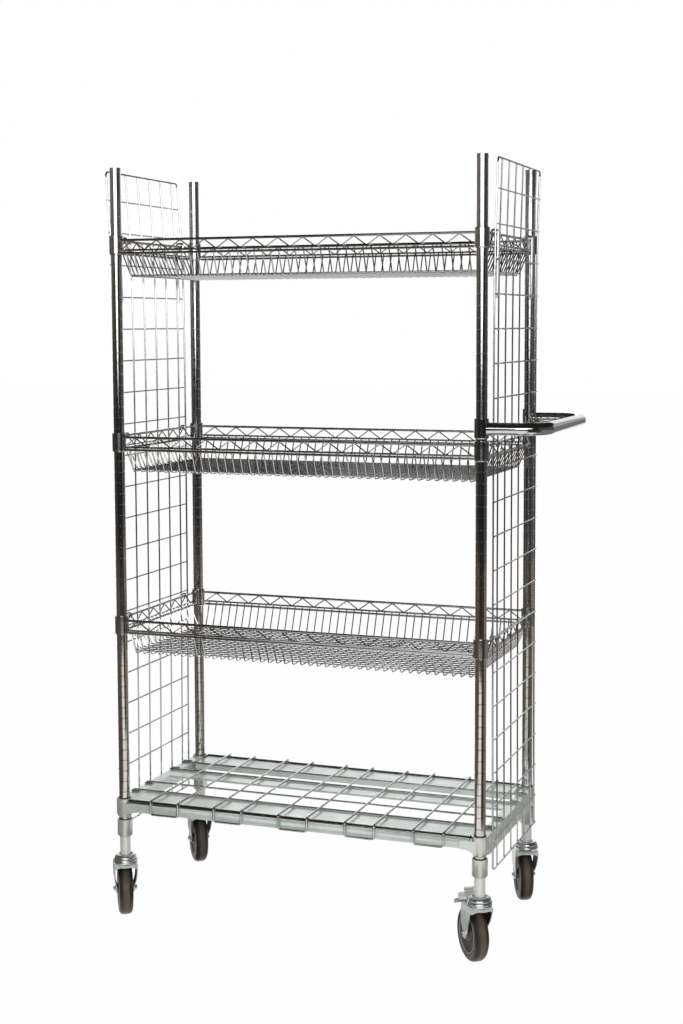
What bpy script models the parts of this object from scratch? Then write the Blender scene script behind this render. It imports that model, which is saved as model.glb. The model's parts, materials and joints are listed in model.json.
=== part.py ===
"""Order picking trolley: four grooved posts on swivel castors, three wire baskets,
a zinc base deck, two hung wire side panels and a tubular push handle.

Metres, +Z up. The model is laid out from the front left post, with X along the
long side and Y towards the back, and is moved at the end so that the origin is
on the floor, under the middle of the whole trolley.
"""

import math

import bmesh
import bpy
from mathutils import Matrix, Vector

for old in list(bpy.data.objects):
    bpy.data.objects.remove(old, do_unlink=True)

# Overall layout
POST_SPACING_X = 0.877
POST_SPACING_Y = 0.418
FIT_GAP = 0.0003
CUT_OVERRUN = 0.002
MERGE_DISTANCE = FIT_GAP / 10
SHARP_ANGLE = math.radians(40)
ROUND_SIDES = 12

# Posts: one inch tube with a plug in the top
POST_RADIUS = 0.0127
POST_WALL = 0.0012
POST_FOOT_Z = 0.221
POST_ABOVE_TOP_BASKET = 0.152
GROOVE_PITCH = 0.0254
CAP_THICKNESS = 0.003
CAP_SPIGOT = 0.012
CAP_SPIGOT_PLAY = 0.0005

# Heights of the levels, at the tops of their collars
BASE_COLLAR_Z = 0.296
LOWER_BASKET_Z = 0.734
LOWER_TO_MIDDLE_PITCHES = 17
MIDDLE_TO_TOP_PITCHES = 18
HANDLE_ABOVE_BASKET = 0.049

# Baskets: corner collars, truss rims, sloped sides and a flat mat
COLLAR_RADIUS = 0.018
COLLAR_HEIGHT = 0.044
RIM_OFFSET = 0.010
RIM_WIRE_DROP = 0.009
RIM_WIRE = 0.005
ROD_TOP_DROP = 0.0293
ROD_FOOT_DROP = 0.041
SIDE_THICKNESS = 0.0045
SIDE_WIRE = 0.004
SNAKE_WIRE = 0.0065
BASKET_DEPTH = 0.091
MAT_THICKNESS = 0.0045
MAT_INSET = 0.018
SIDE_FOOT_BAR = 0.005
LONG_SNAKE_PERIODS = 10
SHORT_SNAKE_PERIODS = 5
LONG_SIDE_CELLS = 8
SHORT_SIDE_CELLS = 4
MAT_CELLS_X = 7
MAT_CELLS_Y = 3

# Side panels: wire grids hung on the basket ends, bowed a little outwards
PANEL_OFFSET = 0.0205
PANEL_WIRE = 0.0045
PANEL_THICKNESS = 0.004
PANEL_EDGE_INSET = 0.022
PANEL_END_CELL = 0.0365
PANEL_INNER_WIRES = 6
PANEL_FOOT_Z = 0.2155
PANEL_ABOVE_TOP_BASKET = 0.149
PANEL_ROWS = 5
PANEL_TOP_CELL = 0.065
PANEL_BOW = 0.0165
PANEL_FOOT_BOW = 0.003
HOOK_WIRE = 0.0035
HOOK_DROP = 0.008

# Push handle: bent tube welded to a collar on each right hand post
HANDLE_RADIUS = 0.014
HANDLE_REACH = 0.136
HANDLE_BEND = 0.062
HANDLE_BEND_STEPS = 5
HANDLE_SIDES_STEPS = 4

# Base: two edge rails, a middle channel, two end rails and a wire deck
BASE_COLLAR_RADIUS = 0.019
BASE_COLLAR_HEIGHT = 0.046
BASE_FACE_OFFSET = 0.017
BASE_SHEET = 0.0025
BASE_PLATE_Z = 0.292
BASE_FACE_DROP = 0.026
BASE_ROD_RADIUS = 0.006
BASE_ROD_OFFSET = 0.009
BASE_ROD_STEPS = 6
BASE_LIP = 0.015
MIDDLE_LIP = 0.004
FRONT_PLATE_EDGE = 0.094
MIDDLE_PLATE_FRONT = 0.220
MIDDLE_PLATE_WIDTH = 0.062
BACK_PLATE_EDGE = 0.352
END_FLANGE = 0.008
END_FACE_FOOT_Z = 0.250

# Wire deck on the base: five looped wires front to back over two pairs of long wires
DECK_WIRE_RADIUS = 0.0025
DECK_LOOP_Z = 0.299
DECK_LOOP_OFFSET = 0.0202
DECK_LOOP_DROP = 0.030
DECK_LOOP_WIDTH = 0.070
DECK_LOOP_PITCH = 0.1625
DECK_LOOPS = 5
LONG_WIRE_RADIUS = 0.00225
DECK_WELD = 0.0024
LONG_WIRE_OFFSET = 0.0145
LONG_WIRE_OUTER_INSET = 0.076
LONG_WIRE_INNER_INSET = 0.147

# Couplings between the posts and the castor stems
COUPLING_FOOT_Z = 0.200
COUPLING_HEIGHT = 0.042
COUPLING_RADIUS = 0.0178
COUPLING_TAPER = 0.006

# Castors
WHEEL_RADIUS = 0.0625
WHEEL_WIDTH = 0.033
WHEEL_SIDES = 20
TYRE_DEPTH = 0.017
TYRE_SHOULDER = 0.007
TYRE_FLANK = 0.007
TYRE_EDGE = 0.001
HUB_RIM = 0.004
HUB_DISH = 0.007
HUB_BOSS_RADIUS = 0.012
HUB_BOSS_PROUD = 0.007
AXLE_RADIUS = 0.004
AXLE_PLAY = 0.0006
AXLE_LENGTH = 0.066
AXLE_NUT_RADIUS = 0.0075
AXLE_SIDES = 8
TRAIL = 0.038
STEM_RADIUS = 0.0125
CUP_FOOT_Z = 0.1378
CUP_TOP_Z = 0.158
CUP_RADIUS = 0.030
CUP_SHOULDER = 0.022
CUP_RIM = 0.009
KINGPIN_RADIUS = 0.006
KINGPIN_REACH = 0.0035
CROWN_FOOT_Z = 0.133
CROWN_THICKNESS = 0.0045
CROWN_RADIUS = 0.029
FORK_INNER = 0.0235
FORK_SHEET = 0.0035
FORK_TOE_RADIUS = 0.011
TOE_STEPS = 6
TOE_ARC = (200, 350)
FORK_FRONT = 0.012
FORK_BACK = 0.039
FORK_SKIRT = 0.020

# Brake pedal on the front right castor
PEDAL_PIVOT_REACH = 0.044
PEDAL_PIVOT_Z = 0.140
PEDAL_PIN_RADIUS = 0.0028
PEDAL_EAR_RADIUS = 0.0065
EAR_STEPS = 6
EAR_ARC = (-60, 120)
PEDAL_NECK_GAP = 0.001
PEDAL_WING_GAP = 0.002
PEDAL_HALF_WIDTH = 0.029
PEDAL_SHEET = 0.003
PEDAL_TIP_REACH = 0.080
PEDAL_TIP_Z = 0.122
PEDAL_KNEE_REACH = 0.067
PEDAL_KNEE_Z = 0.148
PEDAL_TAB_REACH = 0.056
PEDAL_TAB_LENGTH = 0.010
PEDAL_TAB_Z = 0.160
PEDAL_TAB_HALF_WIDTH = 0.0115

# Which way each castor trails, in degrees from straight back, and its brake
CASTORS = {
    "front_left": (0, 0, 31.7, False),
    "front_right": (1, 0, 38.3, True),
    "back_right": (1, 1, 24.6, False),
    "back_left": (0, 1, 36.0, False),
}

MIDDLE_BASKET_Z = LOWER_BASKET_Z + LOWER_TO_MIDDLE_PITCHES * GROOVE_PITCH
TOP_BASKET_Z = MIDDLE_BASKET_Z + MIDDLE_TO_TOP_PITCHES * GROOVE_PITCH
POST_TOP_Z = TOP_BASKET_Z + POST_ABOVE_TOP_BASKET
PANEL_TOP_Z = TOP_BASKET_Z + PANEL_ABOVE_TOP_BASKET
BASKET_LEVELS = {
    "lower_basket": LOWER_BASKET_Z,
    "middle_basket": MIDDLE_BASKET_Z,
    "top_basket": TOP_BASKET_Z,
}
BORE_RADIUS = POST_RADIUS + FIT_GAP

# How far a basket side runs down, and how far inwards for each metre down
SIDE_FOOT_DROP = BASKET_DEPTH + MAT_THICKNESS / 2
SIDE_LEAN = (MAT_INSET + RIM_OFFSET) / (SIDE_FOOT_DROP - ROD_TOP_DROP)


def make_material(name, colour, roughness, metallic):
    """One Principled material."""
    material = bpy.data.materials.new(name)
    material.use_nodes = True
    shader = material.node_tree.nodes["Principled BSDF"]
    shader.inputs["Base Color"].default_value = (*colour, 1)
    shader.inputs["Roughness"].default_value = roughness
    shader.inputs["Metallic"].default_value = metallic
    return material


CHROME = make_material("chrome", (0.55, 0.55, 0.56), 0.12, 1)
ZINC = make_material("zinc_plate", (0.62, 0.67, 0.66), 0.32, 1)
STEM_ZINC = make_material("pale_zinc", (0.66, 0.67, 0.63), 0.35, 1)
TYRE_RUBBER = make_material("tyre_rubber", (0.06, 0.05, 0.045), 0.6, 0)
HUB_PLASTIC = make_material("hub_plastic", (0.16, 0.15, 0.16), 0.5, 0)


def make_object(name, mesh, material):
    """Link a mesh into the scene under its node's name."""
    item = bpy.data.objects.new(name, mesh)
    mesh.materials.clear()
    mesh.materials.append(material)
    bpy.context.scene.collection.objects.link(item)
    return item


def finish_mesh(bm, name):
    """Merge doubles, point the faces outwards and hand back a smooth-shaded mesh."""
    bmesh.ops.remove_doubles(bm, verts=bm.verts[:], dist=MERGE_DISTANCE)
    bmesh.ops.recalc_face_normals(bm, faces=bm.faces[:])
    mesh = bpy.data.meshes.new(name)
    bm.to_mesh(mesh)
    bm.free()
    mesh.shade_smooth()
    mesh.set_sharp_from_angle(angle=SHARP_ANGLE)
    return mesh


def add_cylinder(bm, radius, foot, top, place=(0, 0), sides=ROUND_SIDES):
    """Upright cylinder between two heights."""
    middle = Matrix.Translation((place[0], place[1], (foot + top) / 2))
    bmesh.ops.create_cone(bm, cap_ends=True, segments=sides, radius1=radius,
                          radius2=radius, depth=top - foot, matrix=middle)


def turn_profile(profile, sides, axis=(0, 0, 1), ring=False):
    """Turn (radius, height) points about an axis; a ring profile is closed."""
    bm = bmesh.new()
    across = Vector((1, 0, 0)) if axis[0] == 0 else Vector((0, 0, -1))
    along = Vector(axis)
    points = [bm.verts.new(across * r + along * h) for r, h in profile]
    pairs = list(zip(points[:-1], points[1:]))
    if ring:
        pairs.append((points[-1], points[0]))
    edges = [bm.edges.new(pair) for pair in pairs]
    bmesh.ops.spin(bm, geom=points + edges, cent=(0, 0, 0), axis=along,
                   angle=math.tau, steps=sides, use_merge=True)
    return bm


def extrude_outline(outline, depth):
    """Prism of a closed outline of 3-D points, pushed along a vector."""
    bm = bmesh.new()
    face = bm.faces.new([bm.verts.new(point) for point in outline])
    grown = bmesh.ops.extrude_face_region(bm, geom=[face])
    moved = [part for part in grown["geom"] if isinstance(part, bmesh.types.BMVert)]
    bmesh.ops.translate(bm, verts=moved, vec=depth)
    bmesh.ops.recalc_face_normals(bm, faces=bm.faces[:])
    return bm


def tube_mesh(name, paths, radius, side_steps, closed=False):
    """Round tubes along straight-sided paths, as one mesh."""
    curve = bpy.data.curves.new(name, "CURVE")
    curve.dimensions = "3D"
    curve.bevel_depth = radius
    curve.bevel_resolution = side_steps
    curve.use_fill_caps = True
    for path in paths:
        spline = curve.splines.new("POLY")
        spline.points.add(len(path) - 1)
        for point, place in zip(spline.points, path):
            point.co = (*place, 1)
        spline.use_cyclic_u = closed
    holder = bpy.data.objects.new(name, curve)
    bpy.context.scene.collection.objects.link(holder)
    shapes = bpy.context.evaluated_depsgraph_get()
    raw = bpy.data.meshes.new_from_object(holder.evaluated_get(shapes))
    bpy.data.objects.remove(holder, do_unlink=True)
    bm = bmesh.new()
    bm.from_mesh(raw)
    return finish_mesh(bm, name)


def boolean(item, other, operation):
    """Join or cut with another object, which is hidden from the finished part."""
    other.hide_render = True
    other.display_type = "WIRE"
    change = item.modifiers.new(operation.lower(), "BOOLEAN")
    change.operation = operation
    change.solver = "EXACT"
    change.object = other


def join_bodies(item, name, bm):
    """Add the shapes of a bmesh to an object."""
    boolean(item, make_object(name, finish_mesh(bm, name), CHROME), "UNION")


def cut_bodies(item, name, bm):
    """Cut the shapes of a bmesh from an object."""
    boolean(item, make_object(name, finish_mesh(bm, name), CHROME), "DIFFERENCE")


def cut_post_bores(item, places, foot, top):
    """Open the collars at these places for the posts."""
    bores = bmesh.new()
    for place in places:
        add_cylinder(bores, BORE_RADIUS, foot - CUT_OVERRUN, top + CUT_OVERRUN, place)
    cut_bodies(item, item.name + "_bores", bores)


POST_PLACES = {
    "front_left": (0, 0),
    "front_right": (POST_SPACING_X, 0),
    "back_right": (POST_SPACING_X, POST_SPACING_Y),
    "back_left": (0, POST_SPACING_Y),
}

# Each side starts at one post and runs to the next, with its inward side at +v
SIDES = {
    "front": (POST_PLACES["front_left"], 0, POST_SPACING_X),
    "right": (POST_PLACES["front_right"], 90, POST_SPACING_Y),
    "back": (POST_PLACES["back_right"], 180, POST_SPACING_X),
    "left": (POST_PLACES["back_left"], 270, POST_SPACING_Y),
}


def side_matrix(side):
    """Place of a side's own axes: u along it, v inwards and z up."""
    start, turn, _ = SIDES[side]
    return Matrix.Translation((*start, 0)) @ Matrix.Rotation(math.radians(turn), 4, "Z")


def build_post(name, place):
    """Tube open at the foot and closed by a plug."""
    inner = POST_RADIUS - POST_WALL
    tube = turn_profile([(POST_RADIUS, POST_TOP_Z), (POST_RADIUS, POST_FOOT_Z),
                         (inner, POST_FOOT_Z), (inner, POST_TOP_Z)], ROUND_SIDES, ring=True)
    post = make_object("post_" + name, finish_mesh(tube, "post"), CHROME)
    post.location = (*place, 0)
    seat = POST_TOP_Z + FIT_GAP
    spigot = inner - CAP_SPIGOT_PLAY
    plug = turn_profile([(0, seat + CAP_THICKNESS), (POST_RADIUS, seat + CAP_THICKNESS),
                         (POST_RADIUS, seat), (spigot, seat), (spigot, seat - CAP_SPIGOT),
                         (0, seat - CAP_SPIGOT)], ROUND_SIDES)
    cap = make_object("post_cap_" + name, finish_mesh(plug, "post_cap"), CHROME)
    cap.location = (*place, 0)


def wire_pair(centre, width):
    """The two edges of a bar of this width."""
    return [centre - width / 2, centre + width / 2]


def side_sheet(span, start, periods, cells, top):
    """Truss rim and sloped wires of one basket side, as a thin bent sheet."""
    end = span - start
    pitch = (end - start) / periods
    lows = [start + pitch * k for k in range(periods + 1)]
    peaks = [start + pitch * (k + 0.5) for k in range(periods)]
    first = MAT_INSET + SIDE_THICKNESS + FIT_GAP + SIDE_WIRE
    wires = [first + (span - 2 * first) * k / cells for k in range(cells + 1)]

    rim_u = [start] + [u for p in peaks for u in (p - SNAKE_WIRE, p, p + SNAKE_WIRE)] + [end]
    rod_u = [u for p in lows for u in (p - SNAKE_WIRE, p, p + SNAKE_WIRE)][1:-1]
    wire_u = [u for w in wires for u in wire_pair(w, SIDE_WIRE)]
    rim_v = -RIM_OFFSET
    foot_z = -SIDE_FOOT_DROP
    rod_foot_v = rim_v + SIDE_LEAN * (ROD_FOOT_DROP - ROD_TOP_DROP)
    foot_bar_v = MAT_INSET - SIDE_LEAN * SIDE_FOOT_BAR

    bm = bmesh.new()

    def row(places, v, z):
        return [bm.verts.new((u, v, top + z)) for u in places]

    rim_top = row([start, end], rim_v, -RIM_WIRE_DROP + RIM_WIRE / 2)
    rim = row(rim_u, rim_v, -RIM_WIRE_DROP - RIM_WIRE / 2)
    rod = row(rod_u, rim_v, -ROD_TOP_DROP)
    rod_foot = row([start] + wire_u + [end], rod_foot_v, -ROD_FOOT_DROP)
    bar = row(wire_u, foot_bar_v, foot_z + SIDE_FOOT_BAR)
    bar_foot = row([wire_u[0], wire_u[-1]], MAT_INSET, foot_z)

    bm.faces.new(rim_top + rim[::-1])
    bm.faces.new(rod + rod_foot[::-1])
    bm.faces.new(bar + bar_foot[::-1])
    for k in range(periods):
        left, peak, right = rim[3 * k + 1:3 * k + 4]
        bm.faces.new([left, peak, rod[3 * k + 1], rod[3 * k]])
        bm.faces.new([peak, right, rod[3 * k + 3], rod[3 * k + 2]])
    for k in range(cells + 1):
        upper = rod_foot[2 * k + 1:2 * k + 3]
        lower = bar[2 * k:2 * k + 2]
        bm.faces.new(upper + lower[::-1])
    bmesh.ops.recalc_face_normals(bm, faces=bm.faces[:])
    return bm


def build_side(name, side, top, periods, cells, start):
    """One basket side, thickened about its middle."""
    sheet = side_sheet(SIDES[side][2], start, periods, cells, top)
    sheet.transform(side_matrix(side))
    item = make_object(name, finish_mesh(sheet, name), CHROME)
    wall = item.modifiers.new("wall", "SOLIDIFY")
    wall.thickness = SIDE_THICKNESS
    wall.offset = 0
    wall.use_even_offset = True
    return item


def lattice(us, vs, bar):
    """Flat grid of crossing bars, in the XY plane, from the bars' middles."""
    columns = [u for place in us for u in wire_pair(place, bar)]
    rows = [v for place in vs for v in wire_pair(place, bar)]
    bm = bmesh.new()
    bmesh.ops.create_grid(bm, x_segments=len(columns) - 1, y_segments=len(rows) - 1, size=1)
    ordered = sorted(bm.verts, key=lambda v: (round(v.co.y, 6), round(v.co.x, 6)))
    column_of = {vert: index % len(columns) for index, vert in enumerate(ordered)}
    row_of = {vert: index // len(columns) for index, vert in enumerate(ordered)}
    holes = [face for face in bm.faces
             if min(column_of[v] for v in face.verts) % 2 == 1
             and min(row_of[v] for v in face.verts) % 2 == 1]
    for vert in ordered:
        vert.co = (columns[column_of[vert]], rows[row_of[vert]], 0)
    bmesh.ops.delete(bm, geom=holes, context="FACES")
    return bm


def evenly(first, last, cells):
    """Places from first to last with equal cells between them."""
    return [first + (last - first) * k / cells for k in range(cells + 1)]


def build_mat(name, top):
    """Flat wire floor of a basket, inside the feet of its four sides."""
    half_wall = SIDE_THICKNESS / 2 * math.hypot(1, SIDE_LEAN)
    edge = MAT_INSET + half_wall + FIT_GAP + SIDE_WIRE / 2
    sheet = lattice(evenly(edge, POST_SPACING_X - edge, MAT_CELLS_X),
                    evenly(edge, POST_SPACING_Y - edge, MAT_CELLS_Y), SIDE_WIRE)
    bmesh.ops.translate(sheet, verts=sheet.verts[:], vec=(0, 0, top - BASKET_DEPTH))
    item = make_object(name, finish_mesh(sheet, name), CHROME)
    wall = item.modifiers.new("wall", "SOLIDIFY")
    wall.thickness = MAT_THICKNESS
    wall.offset = 0


def build_basket(name, top):
    """Mat, two long sides between the collars, and two ends that carry them."""
    build_mat(name + "_mat", top)
    clear_of_collar = COLLAR_RADIUS + FIT_GAP
    for side in ("front", "back"):
        build_side(name + "_" + side, side, top, LONG_SNAKE_PERIODS,
                   LONG_SIDE_CELLS, clear_of_collar)
    into_collar = (COLLAR_RADIUS + POST_RADIUS) / 2
    for side, ends in (("right", ("front_right", "back_right")),
                       ("left", ("back_left", "front_left"))):
        item = build_side(name + "_" + side + "_end", side, top, SHORT_SNAKE_PERIODS,
                          SHORT_SIDE_CELLS, into_collar)
        places = [POST_PLACES[end] for end in ends]
        collars = bmesh.new()
        for place in places:
            add_cylinder(collars, COLLAR_RADIUS, top - COLLAR_HEIGHT, top, place)
        join_bodies(item, item.name + "_collars", collars)
        cut_post_bores(item, places, top - COLLAR_HEIGHT, top)


def panel_bow(z):
    """How far a side panel stands out at a height, beyond its middle."""
    middle = (PANEL_FOOT_Z + PANEL_TOP_Z) / 2
    bow = PANEL_BOW if z > middle else PANEL_FOOT_BOW
    return bow * ((z - middle) / (PANEL_TOP_Z - middle)) ** 2


def build_panel(name, side):
    """Wire grid outside the posts, with hooks over the basket rims."""
    edge = PANEL_EDGE_INSET
    inner = evenly(edge + PANEL_END_CELL, POST_SPACING_Y - edge - PANEL_END_CELL,
                   PANEL_INNER_WIRES - 1)
    columns = [edge] + inner + [POST_SPACING_Y - edge]
    rows = evenly(PANEL_FOOT_Z, PANEL_TOP_Z - PANEL_TOP_CELL, PANEL_ROWS)
    rows.append(PANEL_TOP_Z)
    sheet = lattice(columns, rows, PANEL_WIRE)
    sheet.transform(Matrix.Rotation(math.radians(90), 4, "X"))
    for vert in sheet.verts:
        vert.co.y = -PANEL_OFFSET - panel_bow(vert.co.z)
    sheet.transform(side_matrix(side))
    item = make_object(name, finish_mesh(sheet, name), CHROME)
    wall = item.modifiers.new("wall", "SOLIDIFY")
    wall.thickness = PANEL_THICKNESS
    wall.offset = 0

    hooks = bmesh.new()
    for top in BASKET_LEVELS.values():
        under = top - RIM_WIRE_DROP + RIM_WIRE / 2 + FIT_GAP
        rim_inside = -RIM_OFFSET + SIDE_THICKNESS / 2 + FIT_GAP
        outside = -PANEL_OFFSET - panel_bow(under)
        for column in (inner[0], inner[-1]):
            u = column - HOOK_WIRE / 2
            outline = [(outside, under - HOOK_DROP), (outside, under + HOOK_WIRE),
                       (rim_inside + HOOK_WIRE, under + HOOK_WIRE),
                       (rim_inside + HOOK_WIRE, under - HOOK_DROP),
                       (rim_inside, under - HOOK_DROP), (rim_inside, under),
                       (outside + HOOK_WIRE, under), (outside + HOOK_WIRE, under - HOOK_DROP)]
            hook = extrude_outline([(u, v, z) for v, z in outline], (HOOK_WIRE, 0, 0))
            hook.transform(side_matrix(side))
            shape = bpy.data.meshes.new("hook")
            hook.to_mesh(shape)
            hook.free()
            hooks.from_mesh(shape)
    join_bodies(item, name + "_hooks", hooks)


def build_handle():
    """Bent tube from the front right collar round to the back right one."""
    top = MIDDLE_BASKET_Z + HANDLE_ABOVE_BASKET
    middle = top - COLLAR_HEIGHT / 2
    reach = POST_SPACING_X + HANDLE_REACH
    turn = reach - HANDLE_BEND
    path = [(POST_SPACING_X, 0, middle)]
    for centre_y, first in ((HANDLE_BEND, -90), (POST_SPACING_Y - HANDLE_BEND, 0)):
        for step in range(HANDLE_BEND_STEPS + 1):
            angle = math.radians(first + 90 * step / HANDLE_BEND_STEPS)
            path.append((turn + HANDLE_BEND * math.cos(angle),
                         centre_y + HANDLE_BEND * math.sin(angle), middle))
    path.append((POST_SPACING_X, POST_SPACING_Y, middle))
    handle = make_object("push_handle",
                         tube_mesh("push_handle", [path], HANDLE_RADIUS, HANDLE_SIDES_STEPS),
                         CHROME)
    places = [POST_PLACES["front_right"], POST_PLACES["back_right"]]
    collars = bmesh.new()
    for place in places:
        add_cylinder(collars, COLLAR_RADIUS, top - COLLAR_HEIGHT, top, place)
    join_bodies(handle, "push_handle_collars", collars)
    cut_post_bores(handle, places, top - COLLAR_HEIGHT, top)


def circle_points(centre, radius, sides, first, last):
    """Points of an arc about a centre, as (across, up) pairs."""
    angles = [math.radians(first + (last - first) * k / sides) for k in range(sides + 1)]
    return [(centre[0] + radius * math.cos(a), centre[1] + radius * math.sin(a))
            for a in angles]


def edge_rail_outline(plate_edge):
    """Section of an edge rail: outer face, rolled top edge, plate and lip."""
    face = -BASE_FACE_OFFSET
    plate = BASE_PLATE_Z
    rod = (face + BASE_ROD_OFFSET - BASE_SHEET, DECK_LOOP_Z - DECK_WIRE_RADIUS
           - FIT_GAP - BASE_ROD_RADIUS)
    meets_plate = math.degrees(math.asin((plate - rod[1]) / BASE_ROD_RADIUS))
    arc = circle_points(rod, BASE_ROD_RADIUS, BASE_ROD_STEPS, 180, meets_plate)
    foot = BASE_COLLAR_Z - BASE_SHEET - BASE_FACE_DROP
    return ([(face, foot), (face, rod[1] - BASE_ROD_RADIUS)] + arc[:-1]
            + [(arc[-1][0], plate), (plate_edge, plate), (plate_edge, plate - BASE_LIP),
               (plate_edge - BASE_SHEET, plate - BASE_LIP),
               (plate_edge - BASE_SHEET, plate - BASE_SHEET),
               (rod[0], plate - BASE_SHEET), (rod[0], rod[1] - BASE_ROD_RADIUS),
               (face + BASE_SHEET, rod[1] - BASE_ROD_RADIUS), (face + BASE_SHEET, foot)])


def build_edge_rail(name, side, plate_edge):
    """Front or back rail of the base, between the corner collars."""
    start = BASE_COLLAR_RADIUS + FIT_GAP
    outline = [(start, v, z) for v, z in edge_rail_outline(plate_edge)]
    rail = extrude_outline(outline, (POST_SPACING_X - 2 * start, 0, 0))
    rail.transform(side_matrix(side))
    make_object(name, finish_mesh(rail, name), ZINC)


def build_middle_channel():
    """Inverted channel along the middle of the base, between the end rails."""
    front = MIDDLE_PLATE_FRONT
    back = front + MIDDLE_PLATE_WIDTH
    top = BASE_PLATE_Z
    foot = top - MIDDLE_LIP
    start = END_FLANGE + FIT_GAP
    outline = [(front, top), (back, top), (back, foot), (back - BASE_SHEET, foot),
               (back - BASE_SHEET, top - BASE_SHEET), (front + BASE_SHEET, top - BASE_SHEET),
               (front + BASE_SHEET, foot), (front, foot)]
    channel = extrude_outline([(start, v, z) for v, z in outline],
                              (POST_SPACING_X - 2 * start, 0, 0))
    make_object("base_middle_channel", finish_mesh(channel, "base_middle_channel"), ZINC)


def build_end_rail(name, side, ends):
    """End rail of the base with a collar on each of its two posts."""
    face = -BASE_FACE_OFFSET
    top = BASE_PLATE_Z
    outline = [(face, END_FACE_FOOT_Z), (face, top), (END_FLANGE, top),
               (END_FLANGE, top - BASE_SHEET), (face + BASE_SHEET, top - BASE_SHEET),
               (face + BASE_SHEET, END_FACE_FOOT_Z)]
    rail = extrude_outline([(0, v, z) for v, z in outline], (POST_SPACING_Y, 0, 0))
    rail.transform(side_matrix(side))
    item = make_object(name, finish_mesh(rail, name), ZINC)
    places = [POST_PLACES[end] for end in ends]
    collars = bmesh.new()
    for place in places:
        add_cylinder(collars, BASE_COLLAR_RADIUS, BASE_COLLAR_Z - BASE_COLLAR_HEIGHT,
                     BASE_COLLAR_Z, place)
    join_bodies(item, name + "_collars", collars)
    cut_post_bores(item, places, BASE_COLLAR_Z - BASE_COLLAR_HEIGHT, BASE_COLLAR_Z)


def build_wire_deck():
    """Looped wires front to back, and pairs of long wires under them."""
    front = -DECK_LOOP_OFFSET
    back = POST_SPACING_Y + DECK_LOOP_OFFSET
    foot = DECK_LOOP_Z - DECK_LOOP_DROP
    loops = []
    for k in range(DECK_LOOPS):
        centre = POST_SPACING_X / 2 + DECK_LOOP_PITCH * (k - (DECK_LOOPS - 1) / 2)
        left, right = wire_pair(centre, DECK_LOOP_WIDTH)
        loops.append([(left, front, foot), (left, front, DECK_LOOP_Z),
                      (left, back, DECK_LOOP_Z), (left, back, foot),
                      (right, back, foot), (right, back, DECK_LOOP_Z),
                      (right, front, DECK_LOOP_Z), (right, front, foot)])
    deck = make_object("base_wire_deck",
                       tube_mesh("base_wire_deck", loops, DECK_WIRE_RADIUS, 0, closed=True),
                       ZINC)
    wires = []
    under = DECK_LOOP_Z - DECK_WIRE_RADIUS - LONG_WIRE_RADIUS + DECK_WELD
    for inset in (LONG_WIRE_OUTER_INSET, LONG_WIRE_INNER_INSET):
        for y in (inset, POST_SPACING_Y - inset):
            wires.append([(-LONG_WIRE_OFFSET, y, under),
                          (POST_SPACING_X + LONG_WIRE_OFFSET, y, under)])
    long_wires = make_object("base_long_wires",
                             tube_mesh("base_long_wires", wires, LONG_WIRE_RADIUS, 0), ZINC)
    boolean(deck, long_wires, "UNION")


def build_coupling(name, place):
    """Tapered sleeve that clamps the post to the castor's stem."""
    top = COUPLING_FOOT_Z + COUPLING_HEIGHT
    waist = (COUPLING_RADIUS + BORE_RADIUS) / 2
    sleeve = turn_profile([(BORE_RADIUS, top), (COUPLING_RADIUS, top),
                           (COUPLING_RADIUS, COUPLING_FOOT_Z + COUPLING_TAPER),
                           (waist, COUPLING_FOOT_Z), (BORE_RADIUS, COUPLING_FOOT_Z)],
                          ROUND_SIDES, ring=True)
    item = make_object("coupling_" + name, finish_mesh(sleeve, "coupling"), STEM_ZINC)
    item.location = (*place, 0)


def tyre_mesh():
    """Solid rubber tyre with a rounded tread."""
    half = WHEEL_WIDTH / 2
    seat = WHEEL_RADIUS - TYRE_DEPTH
    profile = [(seat, half - TYRE_EDGE), (WHEEL_RADIUS - TYRE_FLANK, half),
               (WHEEL_RADIUS, half - TYRE_SHOULDER)]
    mirrored = [(r, -h) for r, h in profile[::-1]]
    return finish_mesh(turn_profile(profile + mirrored, WHEEL_SIDES, (1, 0, 0), True), "tyre")


def hub_mesh():
    """Dished wheel centre with a boss round the axle."""
    half = WHEEL_WIDTH / 2
    rim = WHEEL_RADIUS - TYRE_DEPTH - FIT_GAP
    profile = [(rim, half - TYRE_EDGE), (rim - HUB_RIM, half - TYRE_EDGE),
               (HUB_BOSS_RADIUS, half - HUB_DISH), (HUB_BOSS_RADIUS, half + HUB_BOSS_PROUD),
               (AXLE_RADIUS + AXLE_PLAY, half + HUB_BOSS_PROUD)]
    mirrored = [(r, -h) for r, h in profile[::-1]]
    return finish_mesh(turn_profile(profile + mirrored, WHEEL_SIDES, (1, 0, 0), True), "hub")


def axle_mesh():
    """Axle bolt with a head outside one fork leg and a nut outside the other."""
    seat = FORK_INNER + FORK_SHEET + FIT_GAP
    end = AXLE_LENGTH / 2
    profile = [(0, -end), (AXLE_NUT_RADIUS, -end), (AXLE_NUT_RADIUS, -seat),
               (AXLE_RADIUS, -seat), (AXLE_RADIUS, seat), (AXLE_NUT_RADIUS, seat),
               (AXLE_NUT_RADIUS, end), (0, end)]
    return finish_mesh(turn_profile(profile, AXLE_SIDES, (1, 0, 0)), "axle")


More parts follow.
